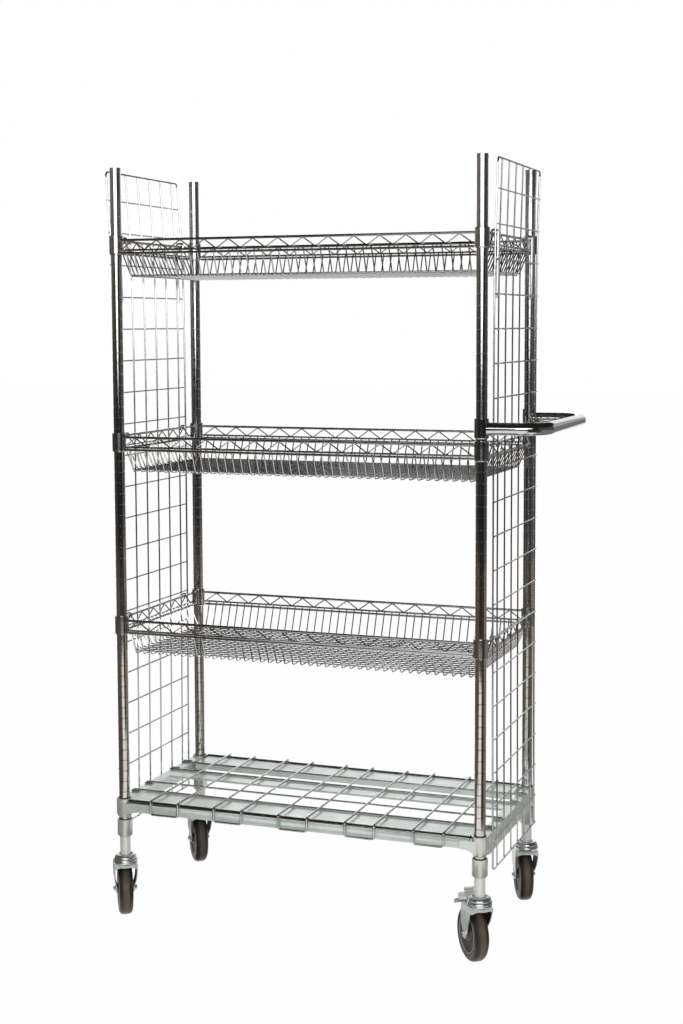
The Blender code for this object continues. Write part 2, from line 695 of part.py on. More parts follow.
def stem_mesh():
    """Stem tube, domed bearing cup and kingpin, turned as one solid."""
    top = POST_FOOT_Z - FIT_GAP
    profile = [(0, top), (STEM_RADIUS, top), (STEM_RADIUS, CUP_TOP_Z),
               (CUP_SHOULDER, CUP_TOP_Z), (CUP_RADIUS, CUP_TOP_Z - CUP_RIM),
               (CUP_RADIUS, CUP_FOOT_Z), (KINGPIN_RADIUS, CUP_FOOT_Z),
               (KINGPIN_RADIUS, CUP_FOOT_Z - KINGPIN_REACH), (0, CUP_FOOT_Z - KINGPIN_REACH)]
    return finish_mesh(turn_profile(profile, ROUND_SIDES), "castor_stem")


def fork_leg_outline(braked):
    """Side view of a fork leg, as (along the trail, up) points."""
    toe = circle_points((TRAIL, WHEEL_RADIUS), FORK_TOE_RADIUS, TOE_STEPS, *TOE_ARC)
    top = CROWN_FOOT_Z + CROWN_THICKNESS
    skirt = CROWN_FOOT_Z - FORK_SKIRT
    back = [(FORK_BACK, skirt), (FORK_BACK, top)]
    if braked:
        ear = circle_points((PEDAL_PIVOT_REACH, PEDAL_PIVOT_Z), PEDAL_EAR_RADIUS,
                            EAR_STEPS, *EAR_ARC)
        back = [(FORK_BACK, skirt)] + ear + [(FORK_BACK, top)]
    return [(-FORK_FRONT, top), (-FORK_FRONT, skirt)] + toe + back


def build_fork(name, braked, parent):
    """Crown disc with two legs, bored for the kingpin, the axle and the pedal pin."""
    crown = bmesh.new()
    add_cylinder(crown, CROWN_RADIUS, CROWN_FOOT_Z, CROWN_FOOT_Z + CROWN_THICKNESS)
    fork = make_object(name, finish_mesh(crown, name), ZINC)
    fork.parent = parent
    outline = fork_leg_outline(braked)
    legs = bmesh.new()
    for inner in (-FORK_INNER - FORK_SHEET, FORK_INNER):
        leg = extrude_outline([(inner, s, z) for s, z in outline], (FORK_SHEET, 0, 0))
        shape = bpy.data.meshes.new("leg")
        leg.to_mesh(shape)
        leg.free()
        legs.from_mesh(shape)
    join = make_object(name + "_legs", finish_mesh(legs, name + "_legs"), ZINC)
    join.parent = parent
    boolean(fork, join, "UNION")
    holes = bmesh.new()
    add_cylinder(holes, KINGPIN_RADIUS + FIT_GAP, CROWN_FOOT_Z - CUT_OVERRUN,
                 CROWN_FOOT_Z + CROWN_THICKNESS + CUT_OVERRUN)
    across = Matrix.Rotation(math.radians(90), 4, "Y")
    width = 2 * (FORK_INNER + FORK_SHEET + CUT_OVERRUN)
    bores = [(TRAIL, WHEEL_RADIUS, AXLE_RADIUS + FIT_GAP)]
    if braked:
        bores.append((PEDAL_PIVOT_REACH, PEDAL_PIVOT_Z, PEDAL_PIN_RADIUS + FIT_GAP))
    for s, z, radius in bores:
        bmesh.ops.create_cone(holes, cap_ends=True, segments=AXLE_SIDES, radius1=radius,
                              radius2=radius, depth=width,
                              matrix=Matrix.Translation((0, s, z)) @ across)
    cut = make_object(name + "_holes", finish_mesh(holes, name + "_holes"), ZINC)
    cut.parent = parent
    boolean(fork, cut, "DIFFERENCE")


def build_pedal(name, parent):
    """Bent foot plate with a raised release tab and a pin in the fork's ears."""
    pivot = empty_at(name + "_pivot", (0, PEDAL_PIVOT_REACH, PEDAL_PIVOT_Z), parent)
    neck = FORK_INNER - PEDAL_NECK_GAP
    wing = PEDAL_EAR_RADIUS + PEDAL_WING_GAP
    knee = PEDAL_KNEE_REACH - PEDAL_PIVOT_REACH
    knee_z = PEDAL_KNEE_Z - PEDAL_PIVOT_Z
    tip = PEDAL_TIP_REACH - PEDAL_PIVOT_REACH
    tip_z = PEDAL_TIP_Z - PEDAL_PIVOT_Z
    rows = [(neck, -PEDAL_PIN_RADIUS, 0), (neck, wing, wing / knee * knee_z),
            (PEDAL_HALF_WIDTH, wing, wing / knee * knee_z),
            (PEDAL_HALF_WIDTH, knee, knee_z), (PEDAL_HALF_WIDTH, tip, tip_z)]
    sheet = bmesh.new()
    left = [sheet.verts.new((-width, s, z)) for width, s, z in rows]
    right = [sheet.verts.new((width, s, z)) for width, s, z in rows]
    sheet.faces.new([left[0], left[1], right[1], right[0]])
    sheet.faces.new([left[1], left[2], left[3], right[3], right[2], right[1]])
    sheet.faces.new([left[3], left[4], right[4], right[3]])
    pedal = make_object(name, finish_mesh(sheet, name), ZINC)
    pedal.parent = pivot
    wall = pedal.modifiers.new("wall", "SOLIDIFY")
    wall.thickness = PEDAL_SHEET
    wall.offset = 0
    more = bmesh.new()
    across = Matrix.Rotation(math.radians(90), 4, "Y")
    pin_length = 2 * (FORK_INNER + FORK_SHEET - FIT_GAP)
    bmesh.ops.create_cone(more, cap_ends=True, segments=AXLE_SIDES, radius1=PEDAL_PIN_RADIUS,
                          radius2=PEDAL_PIN_RADIUS, depth=pin_length, matrix=across)
    pin = make_object(name + "_pin", finish_mesh(more, name + "_pin"), ZINC)
    pin.parent = pivot
    boolean(pedal, pin, "UNION")
    first = PEDAL_TAB_REACH - PEDAL_PIVOT_REACH
    last = first + PEDAL_TAB_LENGTH
    rise = PEDAL_TAB_Z - PEDAL_PIVOT_Z
    sunk = last / knee * knee_z
    block = extrude_outline([(-PEDAL_TAB_HALF_WIDTH, first, sunk),
                             (-PEDAL_TAB_HALF_WIDTH, last, sunk),
                             (-PEDAL_TAB_HALF_WIDTH, last, rise),
                             (-PEDAL_TAB_HALF_WIDTH, first, rise)],
                            (2 * PEDAL_TAB_HALF_WIDTH, 0, 0))
    tab = make_object(name + "_tab", finish_mesh(block, name + "_tab"), ZINC)
    tab.parent = pivot
    boolean(pedal, tab, "UNION")


def empty_at(name, place, parent=None):
    """Empty that carries the pieces turning about an axis."""
    holder = bpy.data.objects.new(name, None)
    holder.location = place
    holder.parent = parent
    bpy.context.scene.collection.objects.link(holder)
    return holder


def build_castor(corner, tyre, hub, axle, stem):
    """Swivel castor under one post, turned the way it trails."""
    along_x, along_y, turn, braked = CASTORS[corner]
    place = (along_x * POST_SPACING_X, along_y * POST_SPACING_Y, 0)
    name = "castor_" + corner
    fixed = make_object(name + "_stem", stem, STEM_ZINC)
    fixed.location = place
    swivel = empty_at(name + "_swivel", place)
    swivel.rotation_euler.z = math.radians(turn)
    build_fork(name + "_fork", braked, swivel)
    for part, mesh, finish in (("axle", axle, ZINC), ("hub", hub, HUB_PLASTIC),
                               ("tyre", tyre, TYRE_RUBBER)):
        item = make_object(name + "_" + part, mesh, finish)
        item.parent = swivel
        item.location = (0, TRAIL, WHEEL_RADIUS)
    if braked:
        build_pedal(name + "_brake_pedal", swivel)


def centre_on_floor():
    """Move the trolley so that the origin is under the middle of its box."""
    bpy.context.view_layer.update()
    shapes = bpy.context.evaluated_depsgraph_get()
    lows, highs = [], []
    for item in bpy.context.scene.objects:
        if item.type != "MESH" or item.hide_render:
            continue
        shape = item.evaluated_get(shapes)
        corners = [item.matrix_world @ vert.co for vert in shape.data.vertices]
        lows.append([min(corner[axis] for corner in corners) for axis in range(3)])
        highs.append([max(corner[axis] for corner in corners) for axis in range(3)])
    low = [min(row[axis] for row in lows) for axis in range(3)]
    high = [max(row[axis] for row in highs) for axis in range(3)]
    shift = Vector((-(low[0] + high[0]) / 2, -(low[1] + high[1]) / 2, -low[2]))
    for item in bpy.context.scene.objects:
        if item.parent is None:
            item.location += shift
    bpy.context.view_layer.update()


for corner_name, corner_place in POST_PLACES.items():
    build_post(corner_name, corner_place)
    build_coupling(corner_name, corner_place)
for basket_name, basket_top in BASKET_LEVELS.items():
    build_basket(basket_name, basket_top)
build_panel("side_panel_left", "left")
build_panel("side_panel_right", "right")
build_handle()
build_edge_rail("base_front_rail", "front", FRONT_PLATE_EDGE)
build_edge_rail("base_back_rail", "back", POST_SPACING_Y - BACK_PLATE_EDGE)
build_middle_channel()
build_end_rail("base_right_rail", "right", ("front_right", "back_right"))
build_end_rail("base_left_rail", "left", ("back_left", "front_left"))
build_wire_deck()
wheel_tyre = tyre_mesh()
wheel_hub = hub_mesh()
wheel_axle = axle_mesh()
castor_stem = stem_mesh()
for corner_name in CASTORS:
    build_castor(corner_name, wheel_tyre, wheel_hub, wheel_axle, castor_stem)
centre_on_floor()
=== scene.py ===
import json
import math

import bmesh
import bpy
from mathutils import Matrix, Vector


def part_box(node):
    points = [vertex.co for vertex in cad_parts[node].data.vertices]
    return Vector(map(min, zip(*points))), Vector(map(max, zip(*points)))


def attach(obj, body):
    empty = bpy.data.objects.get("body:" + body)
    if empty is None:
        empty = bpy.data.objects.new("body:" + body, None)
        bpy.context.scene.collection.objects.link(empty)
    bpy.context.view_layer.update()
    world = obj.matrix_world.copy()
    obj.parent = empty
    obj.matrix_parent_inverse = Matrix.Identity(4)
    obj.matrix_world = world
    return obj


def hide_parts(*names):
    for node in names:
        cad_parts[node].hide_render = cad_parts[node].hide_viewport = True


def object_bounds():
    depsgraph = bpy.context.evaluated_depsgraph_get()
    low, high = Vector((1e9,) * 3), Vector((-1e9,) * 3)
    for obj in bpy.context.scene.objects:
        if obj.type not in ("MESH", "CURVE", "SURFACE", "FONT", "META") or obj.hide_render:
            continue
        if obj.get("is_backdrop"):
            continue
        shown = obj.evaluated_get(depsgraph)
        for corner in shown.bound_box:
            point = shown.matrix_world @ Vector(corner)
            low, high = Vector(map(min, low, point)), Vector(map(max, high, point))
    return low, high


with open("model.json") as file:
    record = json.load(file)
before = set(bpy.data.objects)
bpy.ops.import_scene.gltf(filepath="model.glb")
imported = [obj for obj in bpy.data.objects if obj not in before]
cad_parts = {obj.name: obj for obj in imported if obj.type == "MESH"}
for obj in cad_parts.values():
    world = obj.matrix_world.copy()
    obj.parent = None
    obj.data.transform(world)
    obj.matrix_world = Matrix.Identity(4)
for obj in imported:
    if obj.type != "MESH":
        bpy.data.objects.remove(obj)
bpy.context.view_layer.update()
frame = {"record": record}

# The camera stands in front of the trolley and well to its right, above its middle, and looks down
# on it slightly. Its place is measured from the front left post, along the trolley's own sides.
corners = ("front_left", "front_right", "back_right", "back_left")
post_at = {}
for corner in corners:
    low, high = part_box("post_" + corner)
    post_at[corner] = Vector(((low.x + high.x) / 2, (low.y + high.y) / 2, 0))
length_between_posts = post_at["front_right"].x - post_at["front_left"].x
width_between_posts = post_at["back_left"].y - post_at["front_left"].y

eye_right = 1.8420
eye_forward = -3.4342
eye_height = 1.4216
turned_left = math.radians(20.280)
tipped_down = math.radians(5.045)
leaned = math.radians(-0.184)
focal_pixels = 1654.7
photo_long_side = 1024
straight_ahead = (349.2, 468.5)
photo_middle = (341.5, 512)
sensor = 36

lens = bpy.data.cameras.new("photo_camera")
lens.sensor_width = sensor
lens.lens = focal_pixels * sensor / photo_long_side
lens.shift_x = (photo_middle[0] - straight_ahead[0]) / photo_long_side
lens.shift_y = (straight_ahead[1] - photo_middle[1]) / photo_long_side
lens.clip_end = 100
camera = bpy.data.objects.new("photo_camera", lens)
camera.matrix_world = (Matrix.Translation(post_at["front_left"]
                                          + Vector((eye_right, eye_forward, eye_height)))
                       @ Matrix.Rotation(turned_left, 4, "Z")
                       @ Matrix.Rotation(math.pi / 2 - tipped_down, 4, "X")
                       @ Matrix.Rotation(leaned, 4, "Z"))
bpy.context.scene.collection.objects.link(camera)
bpy.context.scene.camera = camera

# The studio is white: the world shows white to the camera and in the plating, and lights the rest
# softly. The view transform is plain, so colours come out as they are written.
bpy.context.scene.view_settings.view_transform = "Standard"
world_fill = 0.75
world = bpy.data.worlds.new("studio")
bpy.context.scene.world = world
world.use_nodes = True
backdrop = world.node_tree.nodes["Background"]
backdrop.inputs["Color"].default_value = (1, 1, 1, 1)


def seen_directly(tree):
    """One where the camera, a reflection or a refraction sees a surface, zero elsewhere."""
    path = tree.nodes.new("ShaderNodeLightPath")
    either = tree.nodes.new("ShaderNodeMath")
    either.operation = "MAXIMUM"
    tree.links.new(path.outputs["Is Camera Ray"], either.inputs[0])
    tree.links.new(path.outputs["Is Glossy Ray"], either.inputs[1])
    every = tree.nodes.new("ShaderNodeMath")
    every.operation = "MAXIMUM"
    tree.links.new(either.outputs[0], every.inputs[0])
    tree.links.new(path.outputs["Is Transmission Ray"], every.inputs[1])
    return every.outputs[0]


level = world.node_tree.nodes.new("ShaderNodeMapRange")
level.inputs["To Min"].default_value = world_fill
level.inputs["To Max"].default_value = 1
world.node_tree.links.new(seen_directly(world.node_tree), level.inputs["Value"])
world.node_tree.links.new(level.outputs[0], backdrop.inputs["Strength"])

# The floor is a plain pale sheet. It shows nearly white and still takes the trolley's soft shadow.
floor_size = 60
floor_glow = 0.985
floor_colour = (0.9, 0.9, 0.9, 1)
bm = bmesh.new()
bmesh.ops.create_grid(bm, x_segments=1, y_segments=1, size=floor_size / 2)
floor_mesh = bpy.data.meshes.new("floor")
bm.to_mesh(floor_mesh)
bm.free()
floor = bpy.data.objects.new("floor", floor_mesh)
bpy.context.scene.collection.objects.link(floor)
floor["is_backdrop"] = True
floor_paint = bpy.data.materials.new("floor_paint")
floor_paint.use_nodes = True
nodes, links = floor_paint.node_tree.nodes, floor_paint.node_tree.links
nodes.clear()
matt = nodes.new("ShaderNodeBsdfDiffuse")
matt.inputs["Color"].default_value = floor_colour
glow = nodes.new("ShaderNodeEmission")
share = nodes.new("ShaderNodeMath")
share.operation = "MULTIPLY"
share.inputs[1].default_value = floor_glow
links.new(seen_directly(floor_paint.node_tree), share.inputs[0])
blend = nodes.new("ShaderNodeMixShader")
links.new(share.outputs[0], blend.inputs[0])
links.new(matt.outputs[0], blend.inputs[1])
links.new(glow.outputs[0], blend.inputs[2])
links.new(blend.outputs[0], nodes.new("ShaderNodeOutputMaterial").inputs[0])
floor_mesh.materials.append(floor_paint)

# Two softboxes hang behind the camera, a wide one over a narrower one, and a third at the back. Dark
# cloths, a dark ceiling and dark mats, which only the plating sees, give the chrome its black.
towards_eye = Vector((camera.location.x, camera.location.y, 0)).normalized()
room_radius = 6.4
room_height = 3.4


def hang_lamp(name, place, target, width, height, radiance):
    """Elliptical softbox that faces a point and looks this bright in the plating."""
    light = bpy.data.lights.new(name, "AREA")
    light.shape = "ELLIPSE"
    light.size = width
    light.size_y = height
    light.energy = radiance * math.pi * math.pi * width * height / 4
    lamp = bpy.data.objects.new(name, light)
    lamp.matrix_world = (Matrix.Translation(place)
                         @ (Vector(target) - Vector(place)).to_track_quat("-Z", "Y")
                         .to_matrix().to_4x4())
    bpy.context.scene.collection.objects.link(lamp)


softbox_stand = post_at["front_left"] + Vector((1.95, -4.85, 0))
back_stand = -towards_eye * 5.0
hang_lamp("front_softbox", softbox_stand + Vector((0, 0, 2.55)), (0, 0, 1.6),
          width=8.6, height=1.7, radiance=2.0)
hang_lamp("low_softbox", softbox_stand + Vector((0, 0.05, 1.85)), (0, 0, 1.5),
          width=3.8, height=1.35, radiance=2.6)
hang_lamp("back_softbox", back_stand + Vector((0, 0, 2.6)), (0, 0, 1.0),
          width=2.6, height=1.2, radiance=1.5)
fade_foot, fade_head = 1.2, 2.1


def hang_cloth(name, colour, first, last, inner, outer, head_colour=None, centre=Vector()):
    """Dark cloth swept in degrees round a centre, between (reach, height) edges, paler at its head."""
    paint = bpy.data.materials.new(name)
    paint.use_nodes = True
    nodes, links = paint.node_tree.nodes, paint.node_tree.links
    nodes.clear()
    place = nodes.new("ShaderNodeTexCoord")
    split = nodes.new("ShaderNodeSeparateXYZ")
    links.new(place.outputs["Object"], split.inputs[0])
    fade = nodes.new("ShaderNodeMapRange")
    fade.inputs["From Min"].default_value = fade_foot
    fade.inputs["From Max"].default_value = fade_head
    links.new(split.outputs["Z"], fade.inputs["Value"])
    shade = nodes.new("ShaderNodeMix")
    shade.data_type = "RGBA"
    shade.inputs["A"].default_value = (*colour, 1)
    shade.inputs["B"].default_value = (*(head_colour or colour), 1)
    links.new(fade.outputs[0], shade.inputs["Factor"])
    dark_glow = nodes.new("ShaderNodeEmission")
    links.new(shade.outputs["Result"], dark_glow.inputs["Color"])
    links.new(dark_glow.outputs[0], nodes.new("ShaderNodeOutputMaterial").inputs[0])
    bm = bmesh.new()
    start = Matrix.Rotation(math.radians(first), 3, "Z") @ towards_eye
    ends = [bm.verts.new(centre + start * reach + Vector((0, 0, height)))
            for reach, height in (inner, outer)]
    edge = bm.edges.new(ends)
    bmesh.ops.spin(bm, geom=ends + [edge], cent=centre, axis=(0, 0, 1),
                   angle=math.radians(last - first), steps=24)
    cloth_mesh = bpy.data.meshes.new(name)
    bm.to_mesh(cloth_mesh)
    bm.free()
    cloth_mesh.materials.append(paint)
    cloth = bpy.data.objects.new(name, cloth_mesh)
    bpy.context.scene.collection.objects.link(cloth)
    cloth.visible_camera = False
    cloth.visible_diffuse = False
    cloth.visible_shadow = False
    cloth.visible_transmission = False
    cloth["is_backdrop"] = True


wall_foot, wall_head = (room_radius, 0), (room_radius, room_height)
hang_cloth("front_cloth", (0.016, 0.015, 0.015), -50, 50, wall_foot, wall_head)
hang_cloth("left_cloth", (0.052, 0.046, 0.040), -140, -50, wall_foot, wall_head,
           (0.20, 0.175, 0.155))
hang_cloth("right_cloth", (0.070, 0.073, 0.090), 50, 118, wall_foot, wall_head)
hang_cloth("right_far_cloth", (0.20, 0.19, 0.185), 118, 150, wall_foot, wall_head,
           (0.45, 0.44, 0.48))
hang_cloth("ceiling_cloth", (0.020, 0.019, 0.018), 0, 360, (0.01, room_height), wall_head)
mat_height = 0.002
for name, colour, first, last, reach, layer in (
        ("front_mat", (0.030, 0.028, 0.025), -45, 50, 3.3, 1),
        ("left_mat", (0.11, 0.085, 0.065), -145, -50, 0.75, 1),
        ("right_mat", (0.24, 0.215, 0.19), 60, 150, 0.75, 1),
        ("left_front_mat", (0.15, 0.13, 0.115), -50, -26, 1.45, 1),
        ("right_front_mat", (0.055, 0.045, 0.035), 20, 60, 1.45, 2)):
    hang_cloth(name, colour, first, last, (reach, mat_height * layer),
               (room_radius, mat_height * layer))
# Round each front castor a grey mat, which only the plating sees, is painted shadow: it stands for the
# shaded floor there.
for corner in ("front_left", "front_right"):
    hang_cloth("castor_shadow_mat_" + corner, (0.085, 0.085, 0.078), 30, 330, (0.12, mat_height * 2),
               (0.42, mat_height * 2), centre=post_at[corner])

# The four posts are one inch steel tube, chromed, with a rolled groove every inch up to the top
# basket. Each stands in its coupling and is turned here as one profile about its axis.
post_radius = 0.0127
post_wall = 0.0012
groove_pitch = 0.0254
groove_depth = 0.0006
groove_half_width = 0.0011
top_collar_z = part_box("top_basket_left_end")[1].z
top_groove_below_collar = 0.066
cap_skirt = 0.0075
same_place = 0.000005


def plating(name, colour, roughness, spread, stretch, stain=(0.5, 0.5, 0.5), stain_share=0.0):
    """Plated metal: its roughness drifts along the piece and its colour is faintly stained."""
    material = bpy.data.materials.new(name)
    material.use_nodes = True
    nodes, links = material.node_tree.nodes, material.node_tree.links
    shader = nodes["Principled BSDF"]
    shader.inputs["Metallic"].default_value = 1
    place = nodes.new("ShaderNodeTexCoord")
    mapping = nodes.new("ShaderNodeMapping")
    mapping.inputs["Scale"].default_value = stretch
    links.new(place.outputs["Object"], mapping.inputs["Vector"])
    drift = nodes.new("ShaderNodeTexNoise")
    drift.inputs["Scale"].default_value = 9
    drift.inputs["Detail"].default_value = 6
    links.new(mapping.outputs[0], drift.inputs["Vector"])
    range_of = nodes.new("ShaderNodeMapRange")
    range_of.inputs["From Min"].default_value = 0.3
    range_of.inputs["From Max"].default_value = 0.7
    range_of.inputs["To Min"].default_value = roughness - spread
    range_of.inputs["To Max"].default_value = roughness + spread
    links.new(drift.outputs["Fac"], range_of.inputs["Value"])
    links.new(range_of.outputs[0], shader.inputs["Roughness"])
    spots = nodes.new("ShaderNodeTexNoise")
    spots.inputs["Scale"].default_value = 60
    spots.inputs["Detail"].default_value = 4
    links.new(place.outputs["Object"], spots.inputs["Vector"])
    where = nodes.new("ShaderNodeMapRange")
    where.inputs["From Min"].default_value = 0.45
    where.inputs["From Max"].default_value = 0.75
    where.inputs["To Max"].default_value = stain_share
    links.new(spots.outputs["Fac"], where.inputs["Value"])
    tone = nodes.new("ShaderNodeMix")
    tone.data_type = "RGBA"
    tone.inputs["A"].default_value = (*colour, 1)
    tone.inputs["B"].default_value = (*stain, 1)
    links.new(where.outputs[0], tone.inputs["Factor"])
    links.new(tone.outputs["Result"], shader.inputs["Base Color"])
    bump = nodes.new("ShaderNodeBump")
    bump.inputs["Strength"].default_value = 0.04
    bump.inputs["Distance"].default_value = 0.0004
    links.new(spots.outputs["Fac"], bump.inputs["Height"])
    links.new(bump.outputs[0], shader.inputs["Normal"])
    return material


def place_piece(bm, name, body, material, stands_for=(), crease=38):
    """Close the mesh's seams, link it in, tie it to its body and hide the CAD nodes it stands for."""
    bmesh.ops.remove_doubles(bm, verts=bm.verts[:], dist=same_place)
    bmesh.ops.recalc_face_normals(bm, faces=bm.faces[:])
    mesh = bpy.data.meshes.new(name)
    bm.to_mesh(mesh)
    bm.free()
    mesh.shade_smooth()
    mesh.set_sharp_from_angle(angle=math.radians(crease))
    mesh.materials.append(material)
    piece = bpy.data.objects.new(name, mesh)
    bpy.context.scene.collection.objects.link(piece)
    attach(piece, body)
    if stands_for:
        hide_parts(*stands_for)
    return piece


def turn(bm, outline, centre, axis=(0, 0, 1), steps=40, closed=False):
    """Turn an outline of (radius, along) points about an axis through a centre."""
    along = Vector(axis).normalized()
    out = along.orthogonal().normalized()
    points = [bm.verts.new(Vector(centre) + out * r + along * h) for r, h in outline]
    pairs = list(zip(points, points[1:]))
    if closed:
        pairs.append((points[-1], points[0]))
    edges = [bm.edges.new(pair) for pair in pairs]
    return bmesh.ops.spin(bm, geom=points + edges, cent=centre, axis=along,
                          angle=math.tau, steps=steps, use_merge=True)


post_chrome = plating("post_chrome", (0.68, 0.67, 0.655), 0.10, 0.035, (6, 6, 0.6),
                      (0.42, 0.36, 0.30), 0.35)
for corner in corners:
    low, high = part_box("post_" + corner)
    outline = [(post_radius, high.z - cap_skirt)]
    groove = top_collar_z - top_groove_below_collar
    while groove > low.z + groove_pitch / 2:
        outline += [(post_radius, groove + groove_half_width),
                    (post_radius - groove_depth, groove + groove_half_width / 3),
                    (post_radius - groove_depth, groove - groove_half_width / 3),
                    (post_radius, groove - groove_half_width)]
        groove -= groove_pitch
    outline += [(post_radius, low.z), (post_radius - post_wall, low.z),
                (post_radius - post_wall, high.z - cap_skirt)]
    bm = bmesh.new()
    turn(bm, outline, post_at[corner], closed=True)
    place_piece(bm, "grooved_post_" + corner, "frame", post_chrome,
                ["post_" + corner], crease=12)

# A pressed and chromed cap with a short skirt closes the top of each post. It is a hair wider than
# the tube and slightly domed.
cap_radius = 0.0131
cap_dome = 0.0004
cap_hem = 0.0004
cap_chrome = plating("cap_chrome", (0.72, 0.71, 0.70), 0.16, 0.04, (4, 4, 4))
for corner in corners:
    low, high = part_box("post_cap_" + corner)
    skirt_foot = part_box("post_" + corner)[1].z - cap_skirt
    top = high.z
    bm = bmesh.new()
    turn(bm, [(0, top), (cap_radius * 0.45, top - cap_dome * 0.15),
              (cap_radius * 0.8, top - cap_dome * 0.6), (cap_radius * 0.95, top - cap_dome * 1.2),
              (cap_radius, top - cap_dome * 2.2), (cap_radius, skirt_foot + cap_hem),
              (cap_radius - cap_hem, skirt_foot), (post_radius - post_wall, skirt_foot),
              (0, skirt_foot)], post_at[corner])
    place_piece(bm, "domed_cap_" + corner, "frame", cap_chrome, ["post_cap_" + corner])

# The base's edge rails are folded from zinc plated sheet: a hollowed web, an edge rolled into a
# round bead, and a flat shelf with a folded lip. The front one is the wider, and the bright
# skin of each bead is a bar of its own.
rail_gap = 0.0193
web_y = -0.017
web_depth = 0.006
sheet = 0.0025
fold_edge = 0.002
bead_radius = 0.006
bead_skin = 0.0001
loop_z = 0.299
loop_wire = 0.0025
wire_gap = 0.0003
bead_at = (web_y + 0.0065, loop_z - loop_wire - bead_radius - wire_gap)
shelf_z = 0.292
web_foot_z = 0.2675
web_hollow = 0.0022
lip_drop = 0.015
middle_lip = 0.004

zinc = plating("bright_zinc", (0.68, 0.73, 0.69), 0.34, 0.08, (1.2, 1.2, 1.2),
               (0.50, 0.60, 0.58), 0.5)
zinc.node_tree.nodes["Principled BSDF"].inputs["Metallic"].default_value = 0.5
bead_zinc = plating("bead_zinc", (0.60, 0.62, 0.60), 0.14, 0.04, (1, 1, 1), (0.45, 0.42, 0.40), 0.5)


def side_of(side):
    """Place of a side's own axes: along it, inwards and up."""
    start, quarter = {"front": ("front_left", 0), "right": ("front_right", 1),
                      "back": ("back_right", 2), "left": ("back_left", 3)}[side]
    return Matrix.Translation(post_at[start]) @ Matrix.Rotation(math.pi / 2 * quarter, 4, "Z")


def arc(centre, radius, first, last, steps):
    """Points of an arc as (across, up) pairs."""
    return [(centre[0] + radius * math.cos(math.radians(first + (last - first) * k / steps)),
             centre[1] + radius * math.sin(math.radians(first + (last - first) * k / steps)))
            for k in range(steps + 1)]


def fold_sheet(bm, section, first, last, place):
    """Push a closed section of (inwards, up) points along a side."""
    loop = [bm.verts.new(place @ Vector((first, v, z))) for v, z in section]
    face = bm.faces.new(loop)
    grown = bmesh.ops.extrude_face_region(bm, geom=[face])
    moved = [item for item in grown["geom"] if isinstance(item, bmesh.types.BMVert)]
    bmesh.ops.translate(bm, verts=moved, vec=place.to_3x3() @ Vector((last - first, 0, 0)))


def round_bar(bm, radius, first, last, place):
    """Plain round bar along a place's own first axis."""
    bmesh.ops.create_cone(bm, cap_ends=True, segments=24, radius1=radius, radius2=radius,
                          depth=last - first,
                          matrix=place @ Matrix.Translation(((first + last) / 2, 0, 0))
                          @ Matrix.Rotation(math.pi / 2, 4, "Y"))


def rail_section(shelf_edge):
    """Section of an edge rail, from the foot of its web round the bead to the shelf's lip."""
    web_top = bead_at[1] - bead_radius * 0.8
    middle = (web_foot_z + web_top) / 2
    bead = arc(bead_at, bead_radius, 205, -20, 14)
    return ([(web_y + 0.004, web_foot_z - 0.001), (web_y, web_foot_z),
             (web_y + web_hollow * 0.7, web_foot_z + 0.004), (web_y + web_hollow, middle),
             (web_y + web_hollow * 0.7, web_top - 0.003), (web_y, web_top)] + bead
            + [(bead[-1][0] + 0.002, shelf_z), (shelf_edge - fold_edge, shelf_z),
               (shelf_edge, shelf_z - fold_edge), (shelf_edge, shelf_z - lip_drop),
               (shelf_edge - sheet, shelf_z - lip_drop), (shelf_edge - sheet, shelf_z - sheet),
               (bead_at[0] + 0.003, shelf_z - sheet), (web_y + web_depth, web_top),
               (web_y + web_depth, web_foot_z - 0.001)])


for name, side, node in (("front_edge_rail", "front", "base_front_rail"),
                         ("back_edge_rail", "back", "base_back_rail")):
    low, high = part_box(node)
    shelf_edge = high.y - low.y + web_y
    bm = bmesh.new()
    fold_sheet(bm, rail_section(shelf_edge), rail_gap, length_between_posts - rail_gap,
               side_of(side))
    place_piece(bm, name, "frame", zinc, [node], crease=30)
    bm = bmesh.new()
    round_bar(bm, bead_radius + bead_skin, rail_gap, length_between_posts - rail_gap,
              side_of(side) @ Matrix.Translation((0, *bead_at)))
    place_piece(bm, name.replace("rail", "bead"), "frame", bead_zinc)

# A third shelf of the same sheet runs along the middle of the base under the deck's wires. Both its
# edges are folded down, and its ends are welded to the end rails.
low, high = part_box("base_middle_channel")
front_line = post_at["front_left"].y
bm = bmesh.new()
near, far = low.y - front_line, high.y - front_line
foot = shelf_z - middle_lip
fold_sheet(bm, [(near, foot), (near, shelf_z - fold_edge), (near + fold_edge, shelf_z),
                (far - fold_edge, shelf_z), (far, shelf_z - fold_edge), (far, foot),
                (far - sheet, foot), (far - sheet, shelf_z - sheet),
                (near + sheet, shelf_z - sheet), (near + sheet, foot)],
           low.x - post_at["front_left"].x, high.x - post_at["front_left"].x,
           side_of("front"))
place_piece(bm, "middle_shelf", "frame", zinc, ["base_middle_channel"], crease=30)

# The end rails are folded from the same sheet, with a narrow top flange. Each is welded to a satin
# collar on either post, with a small gusset of flat sheet at the front and at the back.
collar_radius = 0.019
collar_taper = 0.009
collar_chamfer = 0.0008
bore_gap = 0.0003
rail_bite = 0.002
end_corners = {"right": ("front_right", "back_right"), "left": ("back_left", "front_left")}
collar_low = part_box("base_left_rail")[0].z
collar_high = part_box("base_left_rail")[1].z
end_foot_z = 0.250
flange = 0.008
satin = plating("satin_zinc", (0.64, 0.64, 0.60), 0.33, 0.06, (1, 1, 3), (0.52, 0.50, 0.45), 0.4)
satin.node_tree.nodes["Principled BSDF"].inputs["Metallic"].default_value = 0.65


